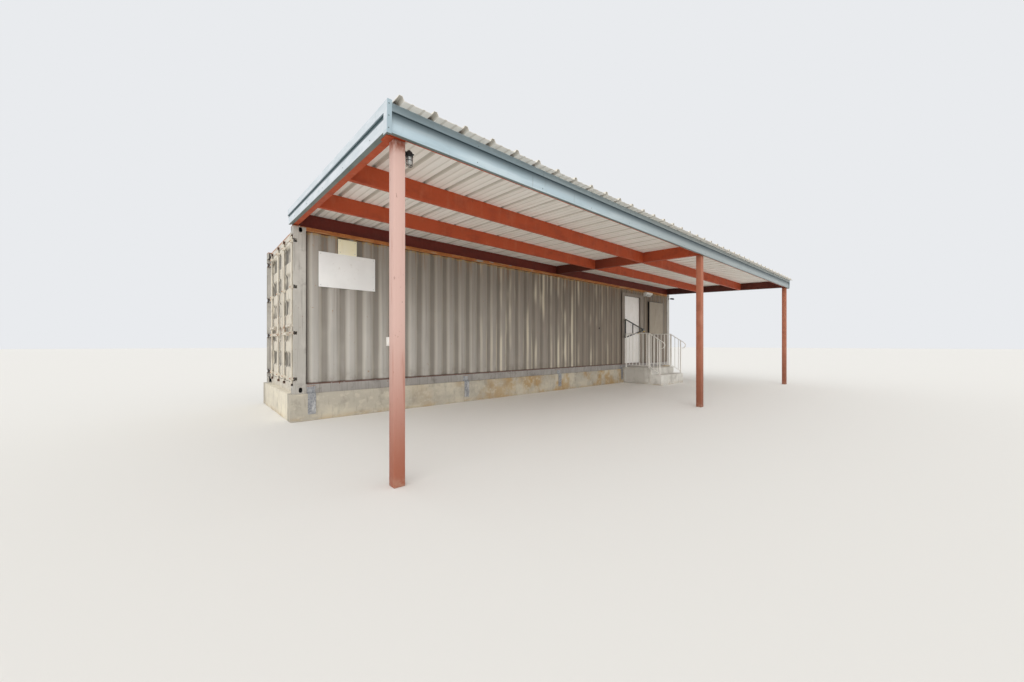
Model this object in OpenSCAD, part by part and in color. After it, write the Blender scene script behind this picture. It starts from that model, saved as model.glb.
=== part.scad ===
/* Shipping container cabin with a lean-to canopy along its long side.
   Millimetres, +Z up. The origin is on the ground, at the middle of the footprint of
   cabin and canopy together. +X runs along the container, from the cargo doors to the
   blind end, and the canopy stands on the -Y side. */

/* [Container] */
// Length of the container over its corner castings
box_l = 12192; // [11800:4:12600]
// Width of the container over its corner castings
box_w = 2438; // [2400:1:2500]
// Height of the container over its corner castings
box_h = 2591; // [2560:1:2620]
// Height of the container's underside over the ground
base_h = 420; // [380:5:460]
// Thickness of the corrugated wall and roof sheets
sheet_t = 2; // [2:0.5:3]
// Pitch of the wall corrugations
wall_pitch = 278; // [260:1:300]
// Depth of the wall corrugations
wall_depth = 36; // [30:1:38]
// Height of the bottom side rails
rail_h = 150; // [140:1:160]
// Height of the top side rails
top_rail_h = 70; // [60:1:80]
// Pitch of the cross members under the floor
cross_pitch = 305; // [290:1:320]

/* [Cargo doors] */
// Thickness of a cargo door's frame
cargo_leaf_t = 50; // [46:1:54]
// Width of a cargo door's frame
cargo_stile = 60; // [54:1:66]
// Radius of the locking rods
rod_r = 15; // [12:0.5:16]
// Radius of the cargo doors' hinge pins
pin_r = 8; // [7:0.5:9]

/* [Personnel door] */
// Distance from the blind end to the door opening
door_end = 2027; // [2020:1:2040]
// Width of the door opening between its jambs
door_w = 960; // [940:1:970]
// Distance from the container's top down to the door opening
door_head = 266; // [260:1:300]
// Width of the frame's face beside the opening
frame_face = 155; // [150:1:158]
// Thickness of the door leaf
leaf_t = 44; // [40:1:46]
// How far the leaf is set back behind the frame's face
leaf_set = 56; // [52:1:58]

/* [Window] */
// Distance from the blind end to the window shutter
shutter_end = 627; // [620:1:640]
// Width of the window shutter
shutter_w = 930; // [900:1:940]
// Height of the shutter's lower edge over the container's underside
shutter_low = 1128; // [1110:1:1140]
// Height of the shutter
shutter_h = 1097; // [1080:1:1110]
// How far the shutter stands out from the side rails
shutter_d = 65; // [60:1:75]

/* [Canopy] */
// Distance from the container's side to the face of the front fascia
canopy_reach = 3640; // [3624:1:3656]
// Height of the roof sheets' underside at the front edge over the container's top
eave_lift = 71; // [66:1:76]
// Rise of the roof for each millimetre towards the container
roof_rise = 0.041; // [0.039:0.0005:0.043]
// Depth of the rafters, purlins and eave beam
beam_h = 203; // [196:1:206]
// Width of the rafters
rafter_w = 90; // [86:1:94]
// Side of the square posts
post_w = 100; // [95:1:104]
// Distance from the container's side to the front of the posts
post_y = 3570; // [3562:1:3574]
// How far the first post stands behind the other two
post_back = 40; // [30:1:50]
// Height of the front fascia
trim_h = 224; // [220:1:228]
// Distance from the container's end to the outside of a rake trim
side_reach = 52; // [48:1:56]
// Pitch of the main ribs in the canopy's roof sheets
rib_pitch = 304.8; // [300:0.1:306]
// Height of the main ribs
rib_h = 32; // [28:1:36]
// Distance that the roof sheets run out past the canopy's frame at the front
sheet_over = 122; // [116:1:128]

/* [Entry steps] */
// Width of the platform and tread
step_w = 1400; // [1396:1:1404]
// Height of the platform over the ground
platform_z = 476; // [470:1:480]
// Depth of the platform from the foundation's face
platform_d = 930; // [920:1:940]
// Height of the lower tread over the ground
tread_z = 290; // [280:1:296]
// Depth of the lower tread
tread_d = 300; // [290:1:310]
// Height of the railings over the platform
railing_h = 1050; // [1040:1:1060]
// Pitch of the railings' pickets
picket_pitch = 113; // [105:1:120]

/* [Fittings] */
// Width of the sign board
sign_w = 900; // [860:1:940]
// Height of the sign board
sign_h = 562; // [540:1:580]
// Width of the notice box
notice_w = 295; // [280:1:310]
// Height of the notice box
notice_h = 244; // [230:1:250]
// Width of the wall light
light_w = 390; // [370:1:400]

/* [Hidden] */
$fn = 32;

// Levels and lines that many pieces share. The walls' outer face lies face_in behind
// the face of the posts and rails.
roof_z = base_h + box_h;
rail_top = base_h + rail_h;
wall_top = roof_z - top_rail_h;
cast = [178, 162, 118];
face_in = 4;
strip_out = 50;
strip_t = 200;
tie_t = 6;
door_x = box_l - door_end - door_w;
door_top = roof_z - door_head;
step_x = door_x - frame_face;

// The canopy's frame: eave_z is the underside of the roof sheets at the frame's front
slope = atan(roof_rise);
eave_z = roof_z + eave_lift;
trim_t = 37;
cap_t = 2;
frame_front = -canopy_reach + trim_t + cap_t;
rib_sheet_t = 2;

// Outer face of the end rafters, which the rake trims stand against
rake_in = trim_t + cap_t - side_reach;

// The footprint's edges, and the origin in its middle
x_low = -side_reach;
x_high = box_l + side_reach;
y_low = frame_front - sheet_over * cos(slope) - (rib_h + rib_sheet_t) * sin(slope);
y_high = box_w + strip_out + tie_t;
origin = [(x_low + x_high) / 2, (y_low + y_high) / 2, 0];

// Colours as the photograph shows them
wall_grey = [0.60, 0.58, 0.54];
post_grey = [0.71, 0.70, 0.66];
rust = [0.62, 0.40, 0.22];
concrete = [0.77, 0.75, 0.69];
oxide = [0.61, 0.24, 0.13];
trim_blue = [0.66, 0.77, 0.80];
off_white = [0.86, 0.85, 0.80];
dark_steel = [0.20, 0.18, 0.17];

// Everything is drawn from the container's lower front corner at the cargo end, then
// moved so that the footprint's middle is the origin.
module place() translate(-origin) children();

// A box given by its low and high corners
module box(low, high) translate(low) cube(high - low);

// The roof's own frame: its Y runs up the slope from the frame's front line, and its
// Z = 0 is the underside of the roof sheets.
module on_slope() translate([0, frame_front, eave_z]) rotate([slope, 0, 0]) children();

// Draws its children on the front side, and mirrored on the rear side
module both_sides() {
  children();
  translate([0, box_w, 0]) mirror([0, 1, 0]) children();
}

/* Corrugated sheets */

// Corners of a trapezoidal wave from start to end: crest at 0 and valley at depth
function wave_points(start, end, pitch, crest, flank, depth) = [
  for (i = [floor(start / pitch) : ceil(end / pitch)])
    for (p = [[0, 0], [crest, 0], [crest + flank, 1], [pitch - flank, 1]])
      [i * pitch + p[0], p[1] * depth]];

// A sheet of trapezoidal waves in the XY plane, waves pointing to +Y, z high
module waves(start, end, pitch, crest, flank, depth, thick, high) {
  outer = wave_points(start, end, pitch, crest, flank, depth);
  inner = [for (i = [len(outer) - 1 : -1 : 0]) outer[i] + [0, thick]];
  intersection() {
    linear_extrude(high) polygon(concat(outer, inner));
    translate([start, -1, -1]) cube([end - start, depth + thick + 2, high + 2]);
  }
}

wall_crest = 72;
wall_flank = 68;

// The long side's corrugation between two X positions and two heights
module side_sheet(x1, x2, z1, z2)
  translate([0, face_in, z1])
    waves(x1, x2, wall_pitch, wall_crest, wall_flank, wall_depth - sheet_t, sheet_t, z2 - z1);

/* Foundation */

module foundation_sides() color(concrete) place() both_sides()
  box([-strip_out, -strip_out, 0], [box_l + strip_out, strip_t - strip_out, base_h]);

module foundation_ends() color(concrete) place()
  for (x = [-strip_out, box_l + strip_out - strip_t])
    box([x, strip_t - strip_out, 0], [x + strip_t, box_w + strip_out - strip_t, base_h]);

// Four ties a side, evenly spaced from the cargo end to the entry steps
tie_w = 115;
tie_x = 190;
tie_count = 4;
tie_gap = 30;
tie_up = 110;
tie_down = 320;
tie_pitch = (step_x - tie_gap - tie_w - tie_x) / (tie_count - 1);

// One bent plate: down the rail, over the strip's top and down the strip's face
module tie_plate() {
  box([0, -tie_t, base_h], [tie_w, 0, base_h + tie_up]);
  box([0, -strip_out - tie_t, base_h], [tie_w, 0, base_h + tie_t]);
  box([0, -strip_out - tie_t, base_h - tie_down], [tie_w, -strip_out, base_h + tie_t]);
}

module tie_plates() color("slategray") place() both_sides()
  for (i = [0 : tie_count - 1])
    translate([tie_x + i * tie_pitch, 0, 0]) tie_plate();

/* Entry steps and railings */

step_back = -strip_out;
step_front = step_back - platform_d;
step_lap = 20;
recess_t = 14;
recess_edge = 70;

// Precast steps with a recessed panel in each side of the platform
module entry_steps() color(concrete) place()
  difference() {
    union() {
      box([step_x, step_front, 0], [step_x + step_w, step_back, platform_z]);
      box([step_x, step_back - step_lap, base_h], [step_x + step_w, 0, platform_z]);
      box([step_x, step_front - tread_d, 0], [step_x + step_w, step_front + step_lap, tread_z]);
    }
    for (x = [step_x - 1, step_x + step_w - recess_t])
      box([x, step_front + recess_edge, recess_edge],
        [x + recess_t + 1, step_back - recess_edge, platform_z - recess_edge]);
  }

railing_top = platform_z + railing_h;
railing_first = step_back - 80;
railing_turn = step_front + 90;
railing_last = step_front - 235;
railing_end = [railing_last - 155, railing_top - 307];
railing_foot = platform_z + 70;
railing_in = 27;
hand_bar = [40, 16];
foot_bar = [25, 12];
newel_w = 28;
picket_w = 14;
scroll_r = 38;

// Heights of the top and bottom bars, which slope down to the lower tread
function fall(y) = y < railing_turn
  ? (railing_turn - y) * (railing_top - railing_end[1]) / (railing_turn - railing_end[0])
  : 0;
function top_at(y) = railing_top - fall(y);
function foot_at(y) = railing_foot - fall(y) * 0.95;

// A bar in the YZ plane between two points, its section as [width in X, thickness]
module bar(from, to, section) {
  run = norm(to - from);
  angle = atan2(to[1] - from[1], to[0] - from[0]);
  translate([0, from[0], from[1]]) rotate([angle, 0, 0])
    translate([-section[0] / 2, 0, -section[1] / 2]) cube([section[0], run, section[1]]);
}

// A square upright at y, between two heights
module upright(y, w, z1, z2) box([-w / 2, y - w / 2, z1], [w / 2, y + w / 2, z2]);

module railing(x) translate([x, 0, 0]) {
  mid = hand_bar[1] / 2;
  bar([railing_first + newel_w / 2, railing_top - mid], [railing_turn - 2, railing_top - mid],
    hand_bar);
  bar([railing_turn, railing_top - mid], railing_end - [0, mid], hand_bar);
  bar([railing_first, railing_foot], [railing_turn, railing_foot], foot_bar);
  bar([railing_turn, railing_foot], [railing_last, foot_at(railing_last)], foot_bar);
  // The lower end of the hand bar turns down and back in a small scroll
  translate([0, railing_end[0] + 4, railing_end[1] - scroll_r - hand_bar[1]])
    rotate([90, 0, -90]) rotate_extrude(angle = 215)
      translate([scroll_r, 5 - hand_bar[0] / 2]) square([12, hand_bar[0] - 10]);
  for (y = [railing_first, railing_turn])
    upright(y, newel_w, platform_z, railing_top - mid);
  upright(railing_last, newel_w, tread_z, top_at(railing_last) - mid);
  for (i = [1 : floor((railing_first - railing_last) / picket_pitch)]) {
    y = railing_first - i * picket_pitch;
    if (y > railing_last + 40 && abs(y - railing_turn) > 30)
      upright(y, picket_w, foot_at(y), top_at(y) - mid);
  }
}

module railing_left() color("gainsboro") place() railing(step_x + railing_in);
module railing_right() color("gainsboro") place() railing(step_x + step_w - railing_in);

/* Container base */

side_rail_w = 48;
side_rail_t = 4.5;
deck_t = 28;
deck_z = base_h + cast[2];
sill_t = 30;
end_rail = 60;
leaf_out = 62;
leaf_in = leaf_out + cargo_leaf_t;
frame_in = leaf_in + sill_t;

// The deck lies between the side rails, and runs on between the corner castings
module floor_deck() color("peru") place() translate([0, 0, deck_z]) linear_extrude(deck_t) {
  translate([cast[0], side_rail_w])
    square([box_l - 2 * cast[0], box_w - 2 * side_rail_w]);
  translate([frame_in, cast[1]])
    square([box_l - end_rail - frame_in, box_w - 2 * cast[1]]);
}

cross_x = 460;
cross_w = 45;
cross_t = 4;
cross_lift = 10;

// Channels across the underside, from one side rail to the other
module cross_members() color("dimgray") place()
  for (i = [0 : floor((box_l - 2 * cross_x) / cross_pitch)])
    translate([cross_x + i * cross_pitch, 0, 0]) difference() {
      box([0, side_rail_w, base_h + cross_lift], [cross_w, box_w - side_rail_w, deck_z]);
      box([cross_t, side_rail_w - 1, base_h + cross_lift + cross_t],
        [cross_w + 1, box_w - side_rail_w + 1, deck_z - cross_t]);
    }

// Channels that open inwards
module bottom_rails() color(wall_grey) place() both_sides() difference() {
  box([cast[0], 0, base_h], [box_l - cast[0], side_rail_w, rail_top]);
  box([cast[0] - 1, side_rail_t, base_h + side_rail_t],
    [box_l - cast[0] + 1, side_rail_w + 1, rail_top - side_rail_t]);
}

top_rail_w = 60;
tube_t = 4;

module top_rails() color(rust) place() both_sides() difference() {
  box([cast[0], 0, wall_top], [box_l - cast[0], top_rail_w, roof_z]);
  box([cast[0] - 1, tube_t, wall_top + tube_t],
    [box_l - cast[0] + 1, top_rail_w - tube_t, roof_z - tube_t]);
}

/* Corner castings and posts */

cast_wall = 28;
slot_deep = 40;

// A slotted hole along Y through to slot_deep, made of two bores and the gap between them
module slot_hole(long, wide) {
  for (s = [-1, 1])
    translate([0, s * (long - wide) / 2, 0]) cylinder(h = slot_deep, d = wide);
  translate([-wide / 2, -(long - wide) / 2, 0]) cube([wide, long - wide, slot_deep]);
}

// One casting with its outer corner at the origin, the solid towards +X, +Y and +Z.
// Hollow, with a slotted hole in the end, the side and the bottom.
module casting() difference() {
  cube(cast);
  box([cast_wall, cast_wall, cast_wall], cast + [1, 1, -cast_wall]);
  translate([cast[0] / 2, cast[1] / 2, -1]) rotate([0, 0, 90]) slot_hole(124, 63);
  translate([101, -1, 57]) rotate([0, 90, 90]) slot_hole(79, 51);
  translate([-1, 89, 57]) rotate([90, 0, 90]) rotate([0, 0, 90]) slot_hole(79, 51);
}

// The eight corners of the container
module at_corners() for (x = [0, 1], y = [0, 1], z = [0, 1])
  translate([x * box_l, y * box_w, base_h + z * box_h])
    mirror([x, 0, 0]) mirror([0, y, 0]) mirror([0, 0, z]) children();

module corner_castings() color(post_grey) place() at_corners() casting();

// Four hinges on each cargo door, with a fixed lug above and below each knuckle
hinge_count = 4;
hinge_end = 232;
hinge_z = [for (i = [0 : hinge_count - 1])
  base_h + hinge_end + i * (box_h - 2 * hinge_end) / (hinge_count - 1)];
pin_at = 22;
pin_fit = 0.05;
knuckle_h = 44;
knuckle_r = 15;
lug_gap = 5;
lug_t = 10;
post_t = 8;
post_low = base_h + cast[2];
post_high = roof_z - cast[2];

// The post beside a cargo door: a side plate with a notch at each hinge, and a box
// behind the pocket that the hinges turn in
module cargo_post() {
  notch = knuckle_h / 2 + lug_gap;
  difference() {
    box([0, 0, post_low], [cast[0], post_t, post_high]);
    for (z = hinge_z)
      box([-1, -1, z - notch], [54, post_t + 1, z + notch]);
  }
  difference() {
    box([72, post_t - 1, post_low], [cast[0], 74, post_high]);
    box([78, 14, post_low - 1], [cast[0] - 6, 68, post_high + 1]);
  }
}

blind_t = 6;
blind_y = 90;

// The post at the blind end: an open section of plate
module blind_post() {
  box([0, 0, post_low], [cast[0], blind_t, post_high]);
  box([0, 0, post_low], [blind_t, blind_y, post_high]);
  box([0, blind_y - blind_t, post_low], [50, blind_y, post_high]);
  box([cast[0] - blind_t, 0, post_low], [cast[0], side_rail_w, post_high]);
}

module corner_posts() color(post_grey) place() {
  both_sides() cargo_post();
  both_sides() translate([box_l, 0, 0]) mirror([1, 0, 0]) blind_post();
}

/* Cargo end */

leaf_edge = 92;
leaf_gap = 8;
header_h = 112;
header_z = roof_z - header_h;
leaf_low = rail_top + leaf_gap;
leaf_high = header_z - leaf_gap;
leaf_mid = box_w / 2 - leaf_gap;
roof_sink = 6;

// Sill under the cargo doors and header over them, with a plate from header to roof
module cargo_end_frame() color(rust) place() {
  t = 6;
  for (z = [[base_h, rail_top], [header_z, roof_z]])
    difference() {
      box([leaf_out - 4, cast[1], z[0]], [frame_in, box_w - cast[1], z[1]]);
      box([leaf_out - 4 + t, cast[1] - 1, z[0] + t],
        [frame_in - t, box_w - cast[1] + 1, z[1] - t]);
    }
  box([frame_in - 1, cast[1], roof_z - roof_sink - t],
    [cast[0], box_w - cast[1], roof_z - roof_sink]);
}

// Fixed lugs above and below each hinge's knuckle, with the pin through them
module lug_pair(z) {
  rise = knuckle_h / 2 + lug_gap;
  for (low = [z + rise, z - rise - lug_t])
    difference() {
      box([face_in, post_t, low], [2 * pin_at - 2, 2 * pin_at - 2, low + lug_t]);
      translate([pin_at, pin_at, low - 1]) cylinder(h = lug_t + 2, r = pin_r - 0.5);
    }
  translate([pin_at, pin_at, z - rise - lug_t + 1])
    cylinder(h = 2 * (rise + lug_t - 1), r = pin_r);
}

module hinge_lugs() color("gray") place() both_sides() for (z = hinge_z) lug_pair(z);

strap_end = 250;
strap_t = 12;

// One hinge blade: a knuckle round the pin and a strap on the leaf's face
module blade(z) translate([0, 0, z - knuckle_h / 2]) difference() {
  union() {
    translate([pin_at, pin_at, 0]) cylinder(h = knuckle_h, r = knuckle_r);
    linear_extrude(knuckle_h) polygon([[pin_at - 6, pin_at + 14], [pin_at + 12, pin_at - 6],
      [leaf_out, leaf_edge - 14], [leaf_out, strap_end], [leaf_out - strap_t, strap_end],
      [leaf_out - strap_t, leaf_edge - 8]]);
  }
  translate([pin_at, pin_at, -1]) cylinder(h = knuckle_h + 2, r = pin_r + pin_fit);
}

door_ribs = 5;
door_rib_d = 30;
door_sheet_t = 3;
door_sheet_in = 6;

// A cargo door leaf: a frame of hollow section round a panel with level ribs
module cargo_leaf() {
  low = leaf_low + cargo_stile;
  high = leaf_high - cargo_stile;
  lap = 2;
  difference() {
    box([leaf_out, leaf_edge, leaf_low], [leaf_in, leaf_mid, leaf_high]);
    box([leaf_out - 1, leaf_edge + cargo_stile, low], [leaf_in + 1, leaf_mid - cargo_stile, high]);
  }
  // The wave's X becomes the leaf's height, and its Y the leaf's depth
  translate([leaf_out + door_sheet_in, leaf_edge + cargo_stile - lap, low - lap])
    mirror([1, 0, 0]) rotate([0, -90, 90]) mirror([0, 0, 1])
      waves(0, high - low + 2 * lap, (high - low) / door_ribs, 150, 45, door_rib_d, door_sheet_t,
        leaf_mid - leaf_edge - 2 * (cargo_stile - lap));
  for (z = hinge_z) blade(z);
}

module cargo_door_front() color(off_white) place() cargo_leaf();
module cargo_door_rear() color(off_white) place()
  translate([0, box_w, 0]) mirror([0, 1, 0]) cargo_leaf();

rod_y = [leaf_edge + 228, leaf_mid - 251];
rod_x = 40;
rod_over = 60;
guide = [34, 25];
guide_count = 4;
cam = [18, 20];
cam_rise = 22;
handle_z = [base_h + 1070, base_h + 940];
handle_reach = 330;
handle_hold = 290;

// The two locking rods of a leaf, each with its guides, a cam at each end and a handle
// that swings towards the leaf's middle
module rod_set() for (i = [0, 1]) {
  y = rod_y[i];
  z = handle_z[i];
  turn = i == 0 ? 1 : -1;
  translate([rod_x, y, leaf_low - rod_over])
    cylinder(h = leaf_high - leaf_low + 2 * rod_over, r = rod_r);
  for (k = [0 : guide_count - 1]) {
    g = leaf_low + rod_over + k * (leaf_high - leaf_low - 2 * rod_over) / (guide_count - 1);
    box([rod_x - cam_rise, y - guide[0], g - guide[1]], [leaf_out, y + guide[0], g + guide[1]]);
  }
  for (low = [leaf_low - rod_over - 2, leaf_high + cam_rise])
    box([rod_x - cam[1], y - cam[0], low], [rod_x + 16, y + cam[0], low + 2 * cam[1]]);
  box([14, y - 22, z - 22], [leaf_out, y + 22, z + 22]);
  translate([0, y, 0]) mirror([0, (1 - turn) / 2, 0]) {
    box([14, -20, z - 16], [24, handle_reach, z + 16]);
    box([24, handle_hold - 20, z - 34], [leaf_out, handle_hold + 20, z + 34]);
  }
}

module lock_rods_front() color("darkgray") place() rod_set();
module lock_rods_rear() color("darkgray") place()
  translate([0, box_w, 0]) mirror([0, 1, 0]) rod_set();

// Two jaws beside every cam, on the sill and on the header
module rod_keepers() color("gray") place() both_sides()
  for (y = rod_y, s = [-1, 1], z = [leaf_low - rod_over - 4, leaf_high + cam_rise - 2])
    translate([0, y + s * (cam[0] + 14), z])
      box([26, -7, 0], [leaf_out - 4, 7, 44]);

/* Blind end, roof and long walls */

// Rails across the blind end between the castings, with a plate from the upper to the roof
module blind_end_rails() color(wall_grey) place() {
  for (z = [[base_h, rail_top], [post_high, roof_z]])
    difference() {
      box([box_l - end_rail, cast[1], z[0]], [box_l, box_w - cast[1], z[1]]);
      box([box_l - end_rail + tube_t, cast[1] - 1, z[0] + tube_t],
        [box_l - tube_t, box_w - cast[1] + 1, z[1] - tube_t]);
    }
  box([box_l - cast[0], cast[1], roof_z - roof_sink - tube_t],
    [box_l - end_rail + 1, box_w - cast[1], roof_z - roof_sink]);
}

end_wave_d = 40;

module blind_end_wall() color(wall_grey) place()
  translate([box_l - blind_t, blind_y, rail_top]) rotate([0, 0, 90])
    waves(0, box_w - 2 * blind_y, 250, 70, 55, end_wave_d, sheet_t, post_high - rail_top);

roof_wave_d = 20;

// Roof sheet with shallow waves across the container, between the top rails
module container_roof() color(wall_grey) place()
  translate([0, box_w - top_rail_w, roof_z - roof_sink]) rotate([90, 0, 0]) mirror([0, 1, 0])
    waves(cast[0], box_l - cast[0], 209, 91, 14, roof_wave_d, sheet_t, box_w - 2 * top_rail_w);

module rear_wall() color(wall_grey) place()
  translate([0, box_w, 0]) mirror([0, 1, 0])
    side_sheet(cast[0], box_l - cast[0], rail_top, wall_top);

// The door frame's jambs and head stand this far outside the opening, and the walls end
// on them
jamb_t = 40;
jamb_l = door_x - jamb_t;
jamb_r = door_x + door_w + jamb_t;
head_z = door_top + jamb_t;

module front_wall_left() color(wall_grey) place()
  side_sheet(cast[0], jamb_l, rail_top, wall_top);

module front_wall_over_door() color(wall_grey) place()
  side_sheet(jamb_l, jamb_r, head_z, wall_top);

// The window's opening lies behind the shutter, this far inside its edges
shutter_x = box_l - shutter_end - shutter_w;
shutter_z = base_h + shutter_low;
win_in = [85, 100];
win_low = [shutter_x, shutter_z] + win_in;
win_high = [shutter_x + shutter_w, shutter_z + shutter_h] - win_in;

module front_wall_right() color(wall_grey) place()
  difference() {
    side_sheet(jamb_r, box_l - cast[0], rail_top, wall_top);
    box([win_low[0], -10, win_low[1]], [win_high[0], wall_depth + 20, win_high[1]]);
  }

/* Personnel door */

hinge_x = door_x;
hinge_y = leaf_set + leaf_t + 10;
jamb_d = leaf_set + leaf_t;
door_hinge_h = 100;
door_hinge_z = [for (i = [0 : 2]) rail_top + 230 + i * (door_top - rail_top - 475) / 2];
door_pin_r = 5;
door_knuckle_r = 8;
head_face = 80;
door_sill = 10;
door_fit = 6;

bar_x = door_x - 80;
bar_y = -52;
bar_low = base_h + 970;
bar_high = base_h + 1570;
bar_tip = [door_x + door_w + 50, base_h + 1248];
bar_tube = 30;
bar_pin_r = 7;
bar_knuckle_r = 12;
bar_knuckle_h = 40;
bar_gap = 5;
bar_lug_t = 8;
bar_hinge_z = [bar_low + 60, bar_high - 60];

// Steel frame: a flat face on the wall, jambs through its depth, and fixed knuckles
module door_frame() color(dark_steel) place() {
  difference() {
    box([door_x - frame_face, -face_in, rail_top],
      [door_x + door_w + frame_face, face_in, door_top + head_face]);
    box([door_x, -face_in - 1, rail_top - 1], [door_x + door_w, face_in + 1, door_top]);
  }
  difference() {
    box([jamb_l, face_in - 1, rail_top], [jamb_r, jamb_d, head_z]);
    box([door_x, face_in - 2, rail_top + door_sill], [door_x + door_w, jamb_d + 1, door_top]);
  }
  for (z = door_hinge_z) {
    half = door_hinge_h / 2;
    box([jamb_l, jamb_d - 1, z - half], [hinge_x - 4, jamb_d + 3, z + half]);
    for (low = [z - half, z + half - 30])
      difference() {
        union() {
          translate([hinge_x, hinge_y, low]) cylinder(h = 30, r = door_knuckle_r);
          box([hinge_x - door_knuckle_r, jamb_d, low], [hinge_x, hinge_y, low + 30]);
        }
        translate([hinge_x, hinge_y, low - 1]) cylinder(h = 32, r = door_pin_r - 0.5);
      }
    translate([hinge_x, hinge_y, z - half + 1]) cylinder(h = door_hinge_h - 2, r = door_pin_r);
  }
  // Brackets and pins that carry the security bar
  for (z = bar_hinge_z) {
    rise = bar_knuckle_h / 2 + bar_gap;
    for (low = [z - rise - bar_lug_t, z + rise]) {
      translate([bar_x, bar_y, low]) cylinder(h = bar_lug_t, r = bar_knuckle_r);
      box([bar_x - bar_knuckle_r, bar_y, low], [bar_x + bar_knuckle_r, 1 - face_in, low + bar_lug_t]);
    }
    translate([bar_x, bar_y, z - rise - 6]) cylinder(h = 2 * rise + 12, r = bar_pin_r);
  }
}

// The leaf with its own knuckles between the fixed ones
module personnel_door() color(off_white) place() {
  knuckle = door_hinge_h / 2 - 32;
  box([door_x + door_fit, leaf_set, rail_top + door_sill + 8],
    [door_x + door_w - door_fit - 2, leaf_set + leaf_t, door_top - door_fit]);
  for (z = door_hinge_z)
    difference() {
      union() {
        translate([hinge_x, hinge_y, z - knuckle]) cylinder(h = 2 * knuckle, r = door_knuckle_r);
        box([hinge_x, jamb_d - 1, z - knuckle], [hinge_x + 60, jamb_d + 4, z + knuckle]);
      }
      translate([hinge_x, hinge_y, z - knuckle - 1])
        cylinder(h = 2 * knuckle + 2, r = door_pin_r + pin_fit);
    }
}

knob_in = 78;
knob_z = rail_top + 990;

// A round knob on each face of the leaf
module door_knob() color("goldenrod") place()
  for (s = [-1, 1])
    translate([door_x + door_w - knob_in, s < 0 ? leaf_set : leaf_set + leaf_t, knob_z])
      rotate([s < 0 ? 90 : -90, 0, 0]) {
        cylinder(h = 6, r = 32);
        cylinder(h = 34, r = 11);
        translate([0, 0, 38]) sphere(r = 24);
      }

// A square tube in the XZ plane between two points, from y1 to y2
module tube_xz(from, to, y1, y2) {
  run = norm(to - from);
  angle = atan2(to[1] - from[1], to[0] - from[0]);
  translate([from[0], 0, from[1]]) rotate([0, -angle, 0])
    box([0, y1, -bar_tube / 2], [run, y2, bar_tube / 2]);
}

lock_plate_t = 8;
lock_plate_front = bar_y - lock_plate_t;
lock_at = [bar_tip[0] + 30, bar_y - 20, bar_tip[1] - 30];
shackle_r = 4;
shackle_w = 13;
shackle_h = 34;

// Security bar: an upright on two pins, two arms that meet at the lock plate, and a brace
module lock_bar() color(dark_steel) place() {
  y1 = bar_y - bar_tube / 2 + 1;
  y2 = bar_y + bar_tube / 2 - 1;
  left = bar_x + 19;
  mid = left + bar_tube / 2;
  arm_gap = 18;
  brace_at = 0.41;
  brace_z = (bar_high - bar_low - bar_tube) / 2 * (1 - brace_at) + arm_gap * brace_at;
  centre = [(bar_high + bar_low) / 2, bar_tip[1]] * [1 - brace_at, brace_at];
  brace_x = mid + (bar_tip[0] - mid) * brace_at;
  box([left, y1, bar_low], [left + bar_tube, y2, bar_high]);
  for (s = [-1, 1])
    tube_xz([mid, s > 0 ? bar_high - bar_tube / 2 : bar_low + bar_tube / 2],
      [bar_tip[0], bar_tip[1] + s * arm_gap], y1 + 1, y2 - 1);
  box([brace_x - 12, y1 + 2, centre - brace_z], [brace_x + 12, y2 - 2, centre + brace_z]);
  box([bar_tip[0] - 60, lock_plate_front, bar_tip[1] - 45],
    [bar_tip[0] + 75, bar_y, bar_tip[1] + 45]);
  for (z = bar_hinge_z)
    difference() {
      union() {
        translate([bar_x, bar_y, z - bar_knuckle_h / 2])
          cylinder(h = bar_knuckle_h, r = bar_knuckle_r);
        box([bar_x, bar_y - 10, z - bar_knuckle_h / 2], [left + 5, bar_y + 10, z + bar_knuckle_h / 2]);
      }
      translate([bar_x, bar_y, z - bar_knuckle_h / 2 - 1])
        cylinder(h = bar_knuckle_h + 2, r = bar_pin_r + pin_fit);
    }
  // A lug on the lock plate, and the padlock's shackle passes over it
  lug_top = lock_at[2] + shackle_h + shackle_w - shackle_r - 0.3;
  box([lock_at[0] - 4, lock_at[1] - 10, lug_top - 12],
    [lock_at[0] + 4, lock_plate_front + 1, lug_top]);
}

module padlock() color("goldenrod") place() translate(lock_at) {
  box([-22, -12, -42], [22, 11.7, 4]);
  translate([0, -2, 0]) {
    for (s = [-1, 1])
      translate([s * shackle_w, 0, 0]) cylinder(h = shackle_h, r = shackle_r);
    translate([0, 0, shackle_h]) rotate([90, 0, 0])
      rotate_extrude(angle = 180) translate([shackle_w, 0]) circle(r = shackle_r, $fn = 16);
  }
}

/* Window */

win_bar = 41;
win_d = [2, 62];
glass_d = [30, 36];

module window_frame() color("silver") place()
  difference() {
    box([win_low[0], win_d[0], win_low[1]], [win_high[0], win_d[1], win_high[1]]);
    box([win_low[0] + win_bar, win_d[0] - 1, win_low[1] + win_bar],
      [win_high[0] - win_bar, win_d[1] + 1, win_high[1] - win_bar]);
  }

module window_glass() color([0.6, 0.7, 0.72, 0.5]) place()
  box([win_low[0] + win_bar, glass_d[0], win_low[1] + win_bar],
    [win_high[0] - win_bar, glass_d[1], win_high[1] - win_bar]);

shutter_t = 4;

// A steel tray closed over the window, its rim standing on the wall
module window_shutter() color([0.49, 0.45, 0.40]) place()
  difference() {
    box([shutter_x, -shutter_d, shutter_z], [shutter_x + shutter_w, face_in, shutter_z + shutter_h]);
    box([shutter_x + shutter_t, shutter_t - shutter_d, shutter_z + shutter_t],
      [shutter_x + shutter_w - shutter_t, face_in + 1, shutter_z + shutter_h - shutter_t]);
  }

/* Canopy */

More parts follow.
